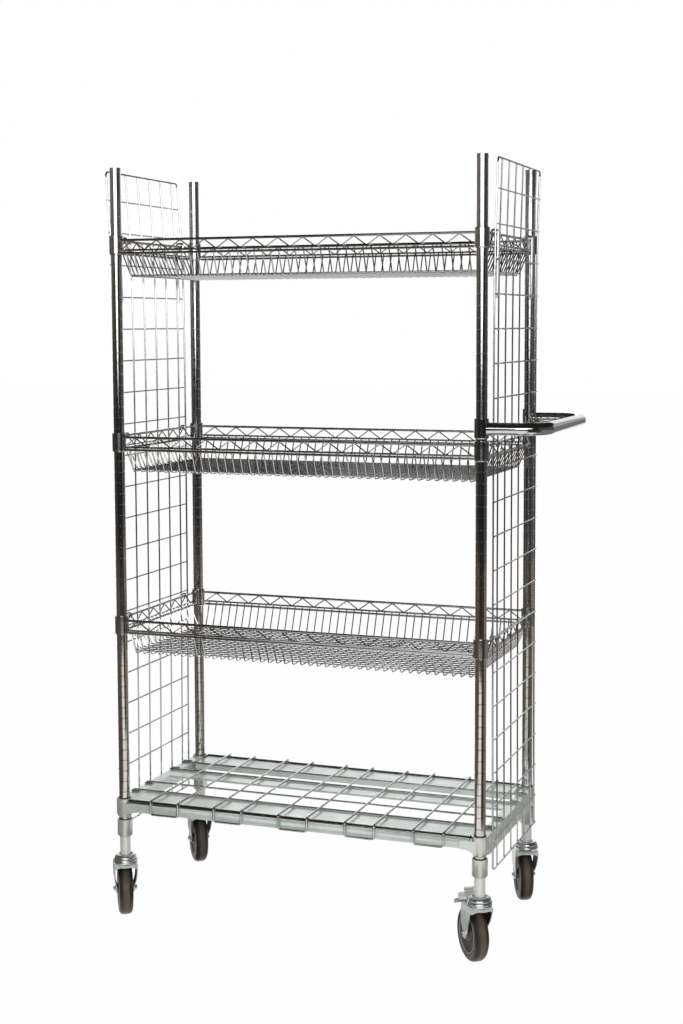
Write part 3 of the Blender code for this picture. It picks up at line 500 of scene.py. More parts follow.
def turn_collar(bm, centre, radius, bottom, top, taper):
    """Collar with a chamfered top and a tapered foot, bored for the post."""
    bore = post_radius + bore_gap
    turn(bm, [(bore, top), (radius - collar_chamfer, top), (radius, top - collar_chamfer),
              (radius, bottom + taper), (radius - 0.0006, bottom + taper * 0.8),
              (bore + 0.0014, bottom + 0.0003), (bore, bottom)],
         (centre.x, centre.y, 0), closed=True)


gusset = [(0.004, 0.2545), (0.011, 0.2585), (0.018, 0.2632), (0.027, 0.2662), (0.042, 0.2668),
          (0.042, 0.2860), (0.004, 0.2865)]
gusset_out, gusset_in = 0.0188, 0.0168
inset = collar_radius - rail_bite
for side, ends in end_corners.items():
    bm = bmesh.new()
    fold_sheet(bm, [(web_y + 0.004, end_foot_z - 0.001), (web_y, end_foot_z),
                    (web_y + 0.0015, end_foot_z + 0.008), (web_y + 0.0015, shelf_z - 0.008),
                    (web_y, shelf_z - fold_edge), (web_y + fold_edge, shelf_z),
                    (flange, shelf_z), (flange, shelf_z - sheet),
                    (web_y + 0.005, shelf_z - sheet), (web_y + 0.005, end_foot_z - 0.001)],
               inset, width_between_posts - inset, side_of(side))
    fold_sheet(bm, gusset, -gusset_out, -gusset_in, side_of(side))
    fold_sheet(bm, gusset, width_between_posts + gusset_in, width_between_posts + gusset_out,
               side_of(side))
    place_piece(bm, side + "_end_rail", "frame", zinc, ["base_" + side + "_rail"],
                crease=30)
    for corner in ends:
        bm = bmesh.new()
        turn_collar(bm, post_at[corner], collar_radius, collar_low, collar_high, collar_taper)
        place_piece(bm, "base_collar_" + corner, "frame", satin, crease=30)

# The deck is welded of zinc plated wire. Each of its loops runs front to back over the rails, drops
# down both faces and joins at the bottom. Two pairs of long wires cross under them, hooked at the
# ends.
least_length, least_angle = 1e-7, 1e-4


def bent_wire(bm, route, radius, bend, sides=8, steps=3):
    """Round wire through a route's points, pushed along the straights and spun round the bends."""
    route = [Vector(point) for point in route]
    heading = (route[1] - route[0]).normalized()
    frame_turn = Vector((0, 0, 1)).rotation_difference(heading).to_matrix().to_4x4()
    disc = bmesh.ops.create_circle(bm, cap_ends=True, segments=sides, radius=radius,
                                   matrix=Matrix.Translation(route[0]) @ frame_turn)
    verts = disc["verts"]
    edges = list({edge for vert in verts for edge in vert.link_edges})
    here = route[0]
    for index in range(1, len(route)):
        corner = route[index]
        last = index == len(route) - 1
        trim = 0
        if not last:
            ahead = (route[index + 1] - corner).normalized()
            angle = heading.angle(ahead)
            trim = bend * math.tan(angle / 2)
        stop = corner - heading * trim
        if (stop - here).length > least_length:
            grown = bmesh.ops.extrude_edge_only(bm, edges=edges)["geom"]
            verts = [item for item in grown if isinstance(item, bmesh.types.BMVert)]
            edges = [item for item in grown if isinstance(item, bmesh.types.BMEdge)
                     and all(vert in verts for vert in item.verts)]
            bmesh.ops.translate(bm, verts=verts, vec=stop - here)
        here = stop
        if not last and angle > least_angle:
            axis = heading.cross(ahead).normalized()
            centre = here + axis.cross(heading).normalized() * bend
            spun = bmesh.ops.spin(bm, geom=edges, cent=centre, axis=axis, angle=angle,
                                  steps=steps)["geom_last"]
            verts = [item for item in spun if isinstance(item, bmesh.types.BMVert)]
            edges = [item for item in spun if isinstance(item, bmesh.types.BMEdge)]
            here = corner + ahead * trim
            heading = ahead
    bmesh.ops.contextual_create(bm, geom=edges)


loop_offset = 0.0202
loop_drop = 0.0315
loop_width = 0.070
loop_pitch = 0.1625
loop_count = 5
loop_bend, hook_bend = 0.006, 0.004
long_wire = 0.00225
weld_sink = 0.0004
long_insets = (0.076, 0.147)
hook_across, hook_back = 0.013, 0.022
long_reach = 0.0150
wire_zinc = plating("wire_zinc", (0.66, 0.68, 0.67), 0.22, 0.06, (1, 1, 1), (0.45, 0.46, 0.45), 0.5)
bm = bmesh.new()
corner_at = post_at["front_left"]
for number in range(loop_count):
    centre = (corner_at.x + length_between_posts / 2
              + loop_pitch * (number - (loop_count - 1) / 2))
    left, right = centre - loop_width / 2, centre + loop_width / 2
    front, back = corner_at.y - loop_offset, post_at["back_left"].y + loop_offset
    foot = loop_z - loop_drop
    bent_wire(bm, [(centre, front, foot), (left, front, foot), (left, front, loop_z),
                   (left, back, loop_z), (left, back, foot), (right, back, foot),
                   (right, back, loop_z), (right, front, loop_z), (right, front, foot),
                   (centre, front, foot)], loop_wire, loop_bend, sides=12, steps=5)
near, far = corner_at.x - long_reach, post_at["front_right"].x + long_reach
z = loop_z - loop_wire - long_wire + weld_sink
for inset in long_insets:
    for y, turned in ((corner_at.y + inset, -hook_across),
                      (post_at["back_left"].y - inset, hook_across)):
        bent_wire(bm, [(near + hook_back, y + turned, z), (near, y + turned, z), (near, y, z),
                       (far, y, z), (far, y + turned, z), (far - hook_back, y + turned, z)],
                  long_wire, hook_bend, sides=10, steps=4)
place_piece(bm, "deck_wires", "frame", wire_zinc, ["base_wire_deck"])

# A split plastic sleeve is clipped round the post inside every collar. Its black edge shows as a
# thin ring on top of the base's collars and of the couplings.
ring_bore = post_radius + 0.0002
ring_radius = 0.0148
ring_height = 0.0016
ring_chamfer = 0.0012
black_plastic = bpy.data.materials.new("black_sleeve")
black_plastic.use_nodes = True
nodes, links = black_plastic.node_tree.nodes, black_plastic.node_tree.links
shader = nodes["Principled BSDF"]
grain = nodes.new("ShaderNodeTexNoise")
grain.inputs["Scale"].default_value = 400
place = nodes.new("ShaderNodeTexCoord")
links.new(place.outputs["Object"], grain.inputs["Vector"])
tint = nodes.new("ShaderNodeMix")
tint.data_type = "RGBA"
tint.inputs["A"].default_value = (0.008, 0.008, 0.009, 1)
tint.inputs["B"].default_value = (0.025, 0.024, 0.023, 1)
links.new(grain.outputs["Fac"], tint.inputs["Factor"])
links.new(tint.outputs["Result"], shader.inputs["Base Color"])
shader.inputs["Roughness"].default_value = 0.42
coupling_low, coupling_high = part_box("coupling_front_left")
coupling_lift = 0.003
for corner in corners:
    for name, seat in (("base_sleeve_", collar_high),
                       ("coupling_sleeve_", coupling_high.z + coupling_lift)):
        bm = bmesh.new()
        turn(bm, [(ring_bore, seat + ring_height), (ring_radius - ring_chamfer, seat + ring_height),
                  (ring_radius, seat + ring_height / 2), (ring_radius, seat), (ring_bore, seat)],
             post_at[corner], closed=True)
        place_piece(bm, name + corner, "frame", black_plastic)

# A coupling of satin zinc under each base collar holds the castor's stem in the foot of its post. It
# is turned, chamfered at its top and tapered at its foot.
coupling_taper = 0.004
for corner in corners:
    bm = bmesh.new()
    turn_collar(bm, post_at[corner], (coupling_high.x - coupling_low.x) / 2,
                coupling_low.z + coupling_lift, coupling_high.z + coupling_lift, coupling_taper)
    place_piece(bm, "tapered_coupling_" + corner, "frame", satin,
                ["coupling_" + corner])

# Each castor's stem is a satin tube that stands in a bearing cup of zinc plated steel. The cup is
# pressed in two tiers, and its top is dished round the stem's foot.
stem_radius = 0.0125
stem_foot = 0.1592
stem_hem = 0.0006
stem_seat = 0.1552
dish_z = 0.1548
cup_foot = 0.1383
pin_radius, pin_foot = 0.0060, 0.1350
cup_zinc = plating("cup_zinc", (0.72, 0.76, 0.76), 0.23, 0.08, (1, 1, 1), (0.45, 0.50, 0.51), 0.6)
cup_zinc.node_tree.nodes["Principled BSDF"].inputs["Metallic"].default_value = 0.95
stem_satin = plating("stem_satin", (0.76, 0.75, 0.715), 0.38, 0.06, (1, 1, 2),
                     (0.74, 0.72, 0.66), 0.3)
stem_satin.node_tree.nodes["Principled BSDF"].inputs["Metallic"].default_value = 0.45
for corner in corners:
    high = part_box("castor_" + corner + "_stem")[1].z
    bm = bmesh.new()
    turn(bm, [(0, high), (stem_radius - stem_hem, high), (stem_radius, high - stem_hem),
              (stem_radius, stem_foot), (stem_radius - 0.0010, stem_foot - stem_hem),
              (stem_radius - 0.0016, stem_seat), (0, stem_seat)], post_at[corner])
    place_piece(bm, "stem_tube_" + corner, "frame", stem_satin)
    bm = bmesh.new()
    turn(bm, [(0, dish_z), (0.0142, dish_z), (0.0156, 0.1570), (0.0176, 0.1583),
              (0.0200, 0.1587), (0.0222, 0.1580), (0.0241, 0.1562), (0.0254, 0.1536),
              (0.0259, 0.1510), (0.0257, 0.1498), (0.0262, 0.1490), (0.0273, 0.1474),
              (0.0279, 0.1450), (0.0279, 0.1428), (0.0274, 0.1406), (0.0264, 0.1392),
              (0.0255, cup_foot), (pin_radius, cup_foot), (pin_radius, pin_foot), (0, pin_foot)],
         post_at[corner])
    place_piece(bm, "bearing_cup_" + corner, "frame", cup_zinc,
                ["castor_" + corner + "_stem"])

# The forks are pressed from one zinc plated sheet, painted near black inside as shade. The round
# crown has a front lip turned down into an arch, and two broad legs draw in over the tyre's sides to
# the axle.
trail = 0.038
wheel_radius = 0.0625
fork_sheet = 0.0030
fork_crown_z = 0.1375
crown_radius = 0.0288
toe_half = 0.0112
leg_toe = 0.0218
leg_front, leg_sweep, leg_curve = -0.009, 0.0358, 1.9
leg_fillet, fillet_drop = 0.011, 0.07
fillet_rim = 0.0302
fork_back = 0.039
shoulder, shoulder_radius = (0.0233, 0.1325), 0.0050
crown_drop, crown_lean = 0.15, 0.2
lip_depth, lip_reach, lip_drop_share = 0.0045, 6, 8
lip_arch, crown_half = 1.8, 0.0245
fork_slices = 14
fork_zinc = plating("fork_zinc", (0.79, 0.82, 0.79), 0.36, 0.08, (1, 1, 1),
                    (0.66, 0.70, 0.68), 0.6)
nodes, links = fork_zinc.node_tree.nodes, fork_zinc.node_tree.links
shader = nodes["Principled BSDF"]
shader.inputs["Metallic"].default_value = 0.45
# The inner faces of each fork are painted near black as shade.
inner = nodes.new("ShaderNodeAttribute")
inner.attribute_name = "inner"
inner_shade = nodes.new("ShaderNodeMix")
inner_shade.data_type = "RGBA"
inner_shade.inputs["B"].default_value = (0.035, 0.034, 0.032, 1)
links.new(inner.outputs["Fac"], inner_shade.inputs["Factor"])
links.new(shader.inputs["Base Color"].links[0].from_socket, inner_shade.inputs["A"])
links.new(inner_shade.outputs["Result"], shader.inputs["Base Color"])
trail_place = {}
for corner in corners:
    joint = next(j for j in frame["record"]["behaviour"]["joints"]
                 if j["name"] == "wheel_" + corner + "_spin")
    across = Vector(joint["axis"]).normalized()
    behind = Vector((-across.y, across.x, 0))
    up = Vector((0, 0, 1))
    axes = Matrix((across, behind, up)).transposed().to_4x4()
    trail_place[corner] = Matrix.Translation(post_at[corner]) @ axes

half_fork = ([(leg_toe, wheel_radius - toe_half), (leg_toe, wheel_radius - toe_half * 0.4),
              (leg_toe + 0.0001, wheel_radius + toe_half * 0.4),
              (leg_toe + 0.0008, wheel_radius + toe_half), (0.0252, 0.083), (0.0272, 0.095),
              (0.0280, 0.108), (0.0283, 0.121)]
             + arc(shoulder, shoulder_radius, 0, 90, 5)
             + [(0.0190, fork_crown_z), (0.0140, fork_crown_z), (0.0095, fork_crown_z),
                (0.0050, fork_crown_z)])
fork_section = [(-x, z) for x, z in half_fork] + [(0, fork_crown_z)] + half_fork[::-1]


def leg_line(drop):
    """Front edge of a fork's leg at a share of the way down, with a fillet under the crown."""
    return (leg_front + leg_sweep * drop ** leg_curve
            - leg_fillet * math.exp(-drop / fillet_drop))


for corner in corners:
    bm = bmesh.new()
    chain = [bm.verts.new((x, 0, z)) for x, z in fork_section]
    edges = [bm.edges.new(pair) for pair in zip(chain, chain[1:])]
    for number in range(fork_slices):
        grown = bmesh.ops.extrude_edge_only(bm, edges=edges)["geom"]
        verts = [item for item in grown if isinstance(item, bmesh.types.BMVert)]
        edges = [item for item in grown if isinstance(item, bmesh.types.BMEdge)
                 and all(vert in verts for vert in item.verts)]
        bmesh.ops.translate(bm, verts=verts, vec=(0, 1 / fork_slices, 0))
    for vert in bm.verts:
        drop = min(1, max(0, (fork_crown_z - vert.co.z) / (fork_crown_z - wheel_radius)))
        front = max(leg_line(drop), -math.sqrt(max(0, fillet_rim ** 2 - vert.co.x ** 2)))
        if drop <= crown_drop:
            front = min(front, crown_lean * drop
                        - math.sqrt(max(0, crown_radius ** 2 - vert.co.x ** 2)))
        back = fork_back + (trail + toe_half - fork_back) * drop
        share_back = vert.co.y
        vert.co.y = front + (back - front) * share_back
        if vert.co.z < wheel_radius:
            rounded = math.sqrt(max(0, 1 - (2 * share_back - 1) ** 2))
            vert.co.z = wheel_radius - (wheel_radius - vert.co.z) * rounded
        lip = max(0, 1 - share_back * lip_reach) * max(0, 1 - drop * lip_drop_share)
        arch = 1 + lip_arch * (abs(vert.co.x) / crown_half) ** 4
        vert.co.z -= lip_depth * arch * lip * lip
    bmesh.ops.recalc_face_normals(bm, faces=bm.faces[:])
    inner_layer = bm.verts.layers.float.new("inner")
    outer_verts = set(bm.verts)
    bmesh.ops.solidify(bm, geom=bm.faces[:], thickness=fork_sheet)
    for vert in bm.verts:
        vert[inner_layer] = 0 if vert in outer_verts else 1
    bm.transform(trail_place[corner])
    place_piece(bm, "pressed_fork_" + corner, "swivel_" + corner, fork_zinc,
                ["castor_" + corner + "_fork"], crease=42)

# A zinc plated bolt through the fork carries the wheel, with a hexagonal head on one side, a nut on
# the other and a washer under each.
axle_zinc = plating("axle_zinc", (0.60, 0.61, 0.58), 0.26, 0.06, (1, 1, 1))
bolt_radius, bolt_length = 0.004, 0.057
washer_seat = leg_toe + 0.0002
washer = 0.0012
tip = 0.0012
nut_height, head_height = 0.0030, 0.0046
for corner in corners:
    place = trail_place[corner] @ Matrix.Translation((0, trail, wheel_radius))
    bm = bmesh.new()
    bmesh.ops.create_cone(bm, cap_ends=True, segments=16, radius1=bolt_radius,
                          radius2=bolt_radius, depth=bolt_length,
                          matrix=place @ Matrix.Rotation(math.pi / 2, 4, "Y"))
    for sign, head in ((-1, nut_height), (1, head_height)):
        for radius, top, seat, height, sides in (
                (0.0088, 0.0084, washer_seat, washer, 24),
                (0.0072, 0.0066, washer_seat + washer, head, 6),
                (0.0050, 0.0030, washer_seat + washer + head, tip, 16)):
            bmesh.ops.create_cone(bm, cap_ends=True, segments=sides, radius1=radius,
                                  radius2=top, depth=height,
                                  matrix=place @ Matrix.Translation(
                                      (sign * (seat + height / 2), 0, 0))
                                  @ Matrix.Rotation(sign * math.pi / 2, 4, "Y"))
    place_piece(bm, "axle_bolt_" + corner, "swivel_" + corner, axle_zinc,
                ["castor_" + corner + "_axle"], crease=25)

# The wheels are grey nylon centres with a raised ring and a boss, under a solid brown-black rubber
# tyre with rounded shoulders.
tyre_depth = 0.017
half_width = 0.0163
# The tread's middle and the tyre's side walls are painted lighter brown as sheen, and the shoulders
# between stay dark as painted shade.
flank_sheen, tread_sheen = 0.62, 0.9
tread_half, tread_fade = 0.0040, 0.0055


def polymer(name, dark, light, roughness, scale, bump_height):
    """Moulded rubber or plastic: mottled colour and a fine grain."""
    material = bpy.data.materials.new(name)
    material.use_nodes = True
    nodes, links = material.node_tree.nodes, material.node_tree.links
    shader = nodes["Principled BSDF"]
    shader.inputs["Roughness"].default_value = roughness
    place = nodes.new("ShaderNodeTexCoord")
    mottle = nodes.new("ShaderNodeTexNoise")
    mottle.inputs["Scale"].default_value = scale
    mottle.inputs["Detail"].default_value = 8
    links.new(place.outputs["Object"], mottle.inputs["Vector"])
    tone = nodes.new("ShaderNodeMix")
    tone.data_type = "RGBA"
    tone.inputs["A"].default_value = (*dark, 1)
    tone.inputs["B"].default_value = (*light, 1)
    links.new(mottle.outputs["Fac"], tone.inputs["Factor"])
    links.new(tone.outputs["Result"], shader.inputs["Base Color"])
    fine = nodes.new("ShaderNodeTexNoise")
    fine.inputs["Scale"].default_value = 900
    links.new(place.outputs["Object"], fine.inputs["Vector"])
    bump = nodes.new("ShaderNodeBump")
    bump.inputs["Strength"].default_value = 0.15
    bump.inputs["Distance"].default_value = bump_height
    links.new(fine.outputs["Fac"], bump.inputs["Height"])
    links.new(bump.outputs[0], shader.inputs["Normal"])
    return material


tyre_rubber = polymer("brown_black_rubber", (0.016, 0.014, 0.012), (0.030, 0.026, 0.022),
                      0.38, 40, 0.0002)
shader = tyre_rubber.node_tree.nodes["Principled BSDF"]
shader.inputs["Specular IOR Level"].default_value = 0.28
nodes, links = tyre_rubber.node_tree.nodes, tyre_rubber.node_tree.links
# This mixes the painted sheen into the rubber's colour, by a share stored on the tyre's vertices.
painted_sheen = nodes.new("ShaderNodeAttribute")
painted_sheen.attribute_name = "painted_sheen"
sheen_tint = nodes.new("ShaderNodeMix")
sheen_tint.data_type = "RGBA"
sheen_tint.inputs["B"].default_value = (0.098, 0.081, 0.060, 1)
links.new(painted_sheen.outputs["Fac"], sheen_tint.inputs["Factor"])
links.new(shader.inputs["Base Color"].links[0].from_socket, sheen_tint.inputs["A"])
links.new(sheen_tint.outputs["Result"], shader.inputs["Base Color"])
hub_nylon = polymer("grey_nylon", (0.050, 0.044, 0.041), (0.085, 0.076, 0.070), 0.42, 60, 0.0002)
ring_nylon = polymer("pale_ring", (0.21, 0.20, 0.185), (0.30, 0.285, 0.265), 0.35, 60, 0.0001)
for corner in corners:
    centre = trail_place[corner] @ Vector((0, trail, wheel_radius))
    across = trail_place[corner].to_3x3() @ Vector((1, 0, 0))
    seat = wheel_radius - tyre_depth
    half = [(seat, half_width - 0.0012), (seat + 0.0015, half_width - 0.0002),
            (seat + 0.004, half_width), (wheel_radius - 0.0095, half_width),
            (wheel_radius - 0.0068, half_width - 0.0006),
            (wheel_radius - 0.0042, half_width - 0.0022),
            (wheel_radius - 0.0020, half_width - 0.0046),
            (wheel_radius - 0.0007, half_width - 0.0074),
            (wheel_radius - 0.0002, half_width - 0.0094),
            (wheel_radius, half_width - 0.0120)]
    bm = bmesh.new()
    turn(bm, half + [(r, -h) for r, h in half[::-1]], centre, across, steps=72, closed=True)
    sheen_layer = bm.verts.layers.float.new("painted_sheen")
    # Each vertex gets its share of painted sheen: most on the tread's middle, less on the side walls,
    # none on the shoulders.
    for vert in bm.verts:
        aside = abs((vert.co - centre).dot(across))
        fade = (aside - tread_half) / tread_fade
        tread = tread_sheen * min(1, max(0, 1 - fade))
        vert[sheen_layer] = flank_sheen if aside > half_width - 0.0001 else tread
    place_piece(bm, "rubber_tyre_" + corner, "wheel_" + corner, tyre_rubber,
                ["castor_" + corner + "_tyre"])
    rim = seat - 0.0003
    half = [(rim, half_width - 0.0030), (rim - 0.0040, half_width - 0.0030),
            (rim - 0.0062, half_width - 0.0042), (rim - 0.0150, half_width - 0.0062),
            (0.0190, half_width - 0.0060), (0.0175, half_width - 0.0030),
            (0.0150, half_width - 0.0010), (0.0120, half_width - 0.0004),
            (0.0105, half_width + 0.0024), (0.0046, half_width + 0.0024)]
    bm = bmesh.new()
    turn(bm, half + [(r, -h) for r, h in half[::-1]], centre, across, steps=56, closed=True)
    place_piece(bm, "nylon_hub_" + corner, "wheel_" + corner, hub_nylon,
                ["castor_" + corner + "_hub"])
    bm = bmesh.new()
    for sign in (-1, 1):
        turn(bm, [(rim - 0.0002, sign * (half_width - 0.0029)),
                  (rim - 0.0004, sign * (half_width + 0.0002)),
                  (rim - 0.0016, sign * (half_width + 0.0009)),
                  (rim - 0.0028, sign * (half_width + 0.0002)),
                  (rim - 0.0034, sign * (half_width - 0.0029))], centre, across, steps=56,
             closed=True)
    place_piece(bm, "pale_ring_" + corner, "wheel_" + corner, ring_nylon)

# The front right castor's brake is a treadle of zinc plated sheet over the fork's back. Its sides are
# folded down, its tip is curled to press on, and an upright tab behind lifts it again.
treadle_line = [(0.0270, 0.1490, 0.0190, 0.004), (0.0340, 0.1515, 0.0250, 0.008),
                (0.0440, 0.1530, 0.0285, 0.014), (0.0560, 0.1525, 0.0290, 0.014),
                (0.0590, 0.1515, 0.0285, 0.011), (0.0596, 0.1512, 0.0160, 0.001),
                (0.0660, 0.1475, 0.0150, 0.001), (0.0765, 0.1345, 0.0150, 0.001),
                (0.0788, 0.1318, 0.0160, 0), (0.0796, 0.1300, 0.0285, 0)]
curl_centre, curl_radius = (0.0776, 0.1247), 0.0036
treadle_sheet = 0.0022
treadle_columns = [(-1, 1), (-1, 0.45), (-0.98, 0.14), (-0.92, 0), (-0.6, 0), (-0.2, 0),
                   (0.2, 0), (0.6, 0), (0.92, 0), (0.98, 0.14), (1, 0.45), (1, 1)]
tab_line = [(0.0600, 0.1515, 0.0115, 0), (0.0640, 0.1535, 0.0115, 0), (0.0655, 0.1560, 0.0115, 0),
            (0.0650, 0.1588, 0.0115, 0), (0.0625, 0.1602, 0.0115, 0), (0.0560, 0.1602, 0.0115, 0),
            (0.0540, 0.1585, 0.0115, 0)]
tab_columns = [(-1, 0), (-0.9, 0), (0, 0), (0.9, 0), (1, 0)]
pin_place = (0.0405, 0.1450)
brake_pin_radius, brake_pin_length = 0.0026, 0.060


def bend_strip(bm, line, columns, thickness):
    """Sheet strip through (behind, up, half width, side drop) stations, given a wall."""
    rows = [[bm.verts.new((half * share, y, z - fall * sink)) for share, sink in columns]
            for y, z, half, fall in line]
    faces = []
    for near, far in zip(rows, rows[1:]):
        for k in range(len(columns) - 1):
            faces.append(bm.faces.new((near[k], near[k + 1], far[k + 1], far[k])))
    bmesh.ops.solidify(bm, geom=faces, thickness=thickness)


bm = bmesh.new()
curl = [(y, z, 0.0290, 0) for y, z in arc(curl_centre, curl_radius, 45, -215, 9)]
bend_strip(bm, treadle_line + curl, treadle_columns, treadle_sheet)
bend_strip(bm, tab_line, tab_columns, treadle_sheet)
bmesh.ops.create_cone(bm, cap_ends=True, segments=14, radius1=brake_pin_radius,
                      radius2=brake_pin_radius, depth=brake_pin_length,
                      matrix=Matrix.Translation((0, *pin_place))
                      @ Matrix.Rotation(math.pi / 2, 4, "Y"))
bm.transform(trail_place["front_right"])
place_piece(bm, "brake_treadle", "brake_front_right", fork_zinc,
            ["castor_front_right_brake_pedal"], crease=35)

# Each basket's sides are trusses of chromed wire, welded at every crossing: a top wire, a zigzag and
# two rods below it. The ends carry the four collars. The top basket's wires lie a little lower in
# their collars than the others do.
basket_names = ("lower_basket", "middle_basket", "top_basket")
basket_collar = 0.0163
basket_collar_height = 0.044
basket_taper = 0.003
truss_v = -0.010
top_wire, top_wire_drop = 0.0030, 0.009
mid_rod, mid_rod_drop = 0.0025, 0.032
low_rod, low_rod_drop, low_rod_v = 0.00275, 0.0385, -0.0052
zigzag_wire, zigzag_bend = 0.0016, 0.004
zigzag_v = truss_v + 0.001
zigzag_head, zigzag_foot = 0.0015, 0.0005
rod_start = 0.0146
zigzag_period = 0.06015
sag = {"top_basket": 0.002}
basket_chrome = plating("basket_chrome", (0.60, 0.60, 0.60), 0.16, 0.05, (2, 2, 2),
                        (0.40, 0.38, 0.36), 0.3)


def truss(bm, side, span, top, peaks):
    """Top wire, zigzag and two rods of one basket side."""
    place = side_of(side)

    def wire(points, radius, bend=0.001, sides=8):
        bent_wire(bm, [place @ Vector((u, v, top - drop)) for u, v, drop in points],
                  radius, bend, sides)

    wire([(rod_start, truss_v, top_wire_drop), (span - rod_start, truss_v, top_wire_drop)],
         top_wire, sides=12)
    wire([(rod_start, truss_v, mid_rod_drop), (span - rod_start, truss_v, mid_rod_drop)],
         mid_rod, sides=10)
    wire([(rod_start + 0.002, low_rod_v, low_rod_drop),
          (span - rod_start - 0.002, low_rod_v, low_rod_drop)], low_rod, sides=10)
    first = span / 2 - zigzag_period * (peaks - 1) / 2
    high_drop, low_drop = top_wire_drop + zigzag_head, mid_rod_drop - zigzag_foot
    route = [(first - zigzag_period / 2, zigzag_v, low_drop)]
    for number in range(peaks):
        route.append((first + zigzag_period * number, zigzag_v, high_drop))
        route.append((first + zigzag_period * (number + 0.5), zigzag_v, low_drop))
    wire(route, zigzag_wire, zigzag_bend, 6)


for basket in basket_names:
    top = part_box(basket + "_left_end")[1].z
    for side, span, peaks in (("front", length_between_posts, 14),
                              ("back", length_between_posts, 14),
                              ("right", width_between_posts, 6),
                              ("left", width_between_posts, 6)):
        bm = bmesh.new()
        truss(bm, side, span, top - sag.get(basket, 0), peaks)
        for corner in end_corners.get(side, ()):
            turn_collar(bm, post_at[corner], basket_collar, top - basket_collar_height, top,
                        basket_taper)
        node = basket + "_" + side + ("_end" if side in end_corners else "")
        place_piece(bm, basket + "_" + side + "_truss", "frame", basket_chrome, [node],
                    crease=32)

# The basket's mesh is bent wire in both directions. Every wire runs down one side, across the mat
# and up the other, hung from the two rods.
mat_drop = 0.0895
slope_wire, slope_bend = 0.0015, 0.006
slope_foot = 0.0165
slope_head_v, slope_head_drop = -0.0072, 0.0315
mesh_pitch = 0.020
cross_count, long_count = 42, 18
for basket in basket_names:
    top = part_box(basket + "_left_end")[1].z - sag.get(basket, 0)
    bm = bmesh.new()
    for side, span, other, count, lift in (
            ("front", length_between_posts, width_between_posts, cross_count, -slope_wire),
            ("left", width_between_posts, length_between_posts, long_count, slope_wire)):
        place = side_of(side)
        for number in range(count):
            u = span / 2 + mesh_pitch * (number - (count - 1) / 2)
            z = top - mat_drop + lift
            head_z = top - slope_head_drop
            route = [(u, slope_head_v, head_z), (u, slope_foot, z), (u, other - slope_foot, z),
                     (u, other - slope_head_v, head_z)]
            bent_wire(bm, [place @ Vector(point) for point in route], slope_wire, slope_bend, 6, 3)
    place_piece(bm, basket + "_wire_mesh", "frame", basket_chrome, [basket + "_mat"])

# The side panels are welded grids of chromed wire in a frame bent from one wire. They bow a little
# outwards at top and bottom and hang by hooks over the baskets' end wires. A hook is given as its
# wire's radius, its outer leg and its inner lip, and the top basket's are long and thick.
panel_wire = 0.0018
panel_frame = 0.0022
frame_corner, frame_bend = 0.014, 0.010
panel_overlap = 0.002
grid_bend, grid_lift, grid_foot = 0.02, 1.6, 0.0005
panel_offset = 0.0205
panel_bow_low = 0.003
panel_bow_high = {"left": 0.0163, "right": 0.0075}
panel_inset = 0.022
panel_end_cell = 0.0365
panel_columns = 6
panel_pitch_z = 0.075
panel_low_z = 0.207
panel_foot_z = 0.2155
panel_rows = 21
panel_steps = 12
hook_gap, hook_curve = 0.0003, 0.004
small_hook = (panel_wire, 0.012, 0.012)
hook_sizes = {"top_basket": (0.0026, 0.147, 0.026)}
panel_chrome = plating("panel_chrome", (0.62, 0.62, 0.62), 0.17, 0.05, (2, 2, 2),
                       (0.45, 0.45, 0.46), 0.3)


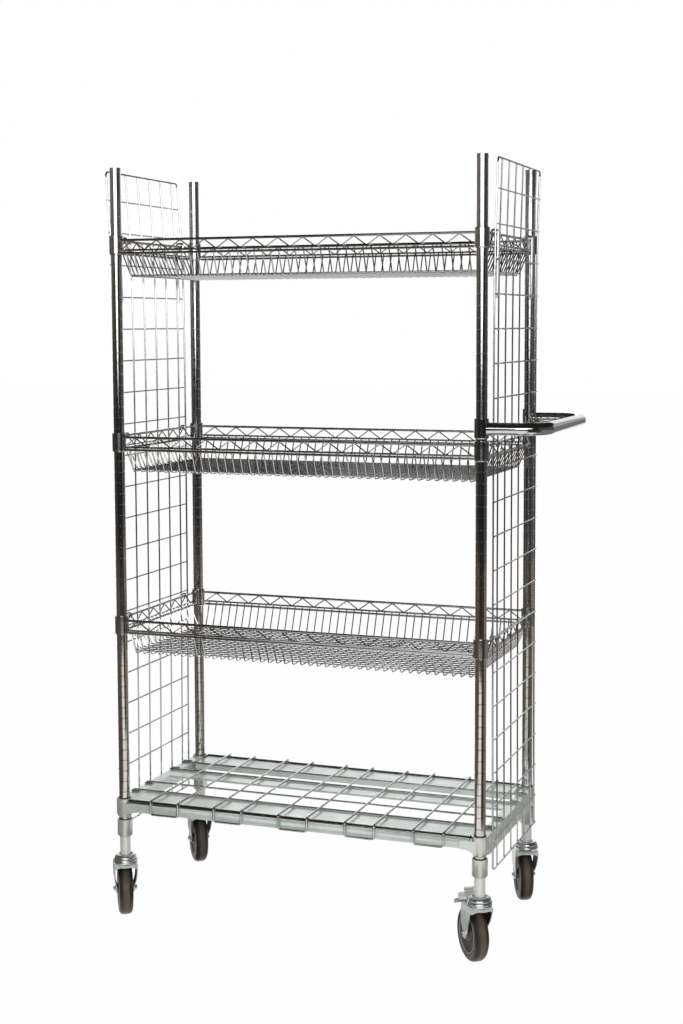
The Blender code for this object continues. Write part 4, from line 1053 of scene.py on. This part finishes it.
def weld_panel(bm, side, low_z, top_z):
    """Frame, upright wires, level wires and hooks of one side panel."""
    place = side_of(side)
    middle_z = (top_z + panel_foot_z) / 2

    def panel_point(u, z, proud=0.0):
        """Point along and up the panel, which bows out above and below its middle."""
        from_middle = (z - middle_z) / (top_z - middle_z)
        bow = panel_bow_low * from_middle ** 2
        if from_middle > 0:
            bow = panel_bow_high[side] * from_middle ** 5
        return place @ Vector((u, -panel_offset - bow - proud, z))

    edge, far_edge = panel_inset, width_between_posts - panel_inset
    heights = [panel_foot_z + (top_z - frame_corner - panel_foot_z) * k / panel_steps
               for k in range(panel_steps + 1)]
    route = [panel_point(edge, panel_foot_z)] + [panel_point(edge, z) for z in heights[1:]]
    route += [panel_point(edge, top_z), panel_point(far_edge, top_z)]
    route += [panel_point(far_edge, z) for z in heights[::-1]]
    bent_wire(bm, route, panel_frame, frame_bend, 8, 4)
    between = far_edge - edge - 2 * panel_end_cell
    tall = [low_z + grid_foot] + heights[1:] + [top_z]
    for number in range(panel_columns):
        u = edge + panel_end_cell + between * number / (panel_columns - 1)
        bent_wire(bm, [panel_point(u, z) for z in tall], panel_wire, grid_bend, 6, 1)
    for number in range(panel_rows):
        z = max(panel_foot_z, panel_low_z + panel_pitch_z * number)
        bent_wire(bm, [panel_point(edge - panel_overlap, z, panel_wire * grid_lift),
                       panel_point(far_edge + panel_overlap, z, panel_wire * grid_lift)],
                  panel_wire, grid_bend, 6, 1)
    for basket in basket_names:
        hook, leg, lip = hook_sizes.get(basket, small_hook)
        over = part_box(basket + "_left_end")[1].z - top_wire_drop + top_wire + hook + hook_gap
        inside = truss_v + top_wire + hook + hook_gap
        for u in (edge + panel_end_cell, far_edge - panel_end_cell):
            bent_wire(bm, [panel_point(u, over - leg, -hook - panel_wire),
                           panel_point(u, over, -hook - panel_wire),
                           place @ Vector((u, inside, over)),
                           place @ Vector((u, inside, over - lip))], hook, hook_curve, 8, 4)


for side in ("left", "right"):
    low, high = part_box("side_panel_" + side)
    bm = bmesh.new()
    weld_panel(bm, side, low.z, high.z - panel_frame)
    place_piece(bm, "hung_panel_" + side, "frame", panel_chrome, ["side_panel_" + side])

# The push handle is one chromed tube bent to a U and welded to a collar at each end. The collars
# sit on the two right hand posts.
handle_radius = 0.014
handle_bend = 0.062
handle_gap = 0.001
low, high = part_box("push_handle")
handle_z = (low.z + high.z) / 2
handle_end = high.x - handle_radius
handle_chrome = plating("handle_chrome", (0.66, 0.66, 0.655), 0.09, 0.03, (2, 2, 2),
                        (0.5, 0.5, 0.5), 0.2)
bm = bmesh.new()
near, far = post_at["front_right"], post_at["back_right"]
bent_wire(bm, [(near.x + post_radius + handle_gap, near.y, handle_z),
               (handle_end, near.y, handle_z), (handle_end, far.y, handle_z),
               (far.x + post_radius + handle_gap, far.y, handle_z)],
          handle_radius, handle_bend, sides=32, steps=16)
for post in (near, far):
    turn_collar(bm, post, basket_collar, low.z, high.z, basket_taper)
place_piece(bm, "bent_handle", "frame", handle_chrome, ["push_handle"])

low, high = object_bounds()
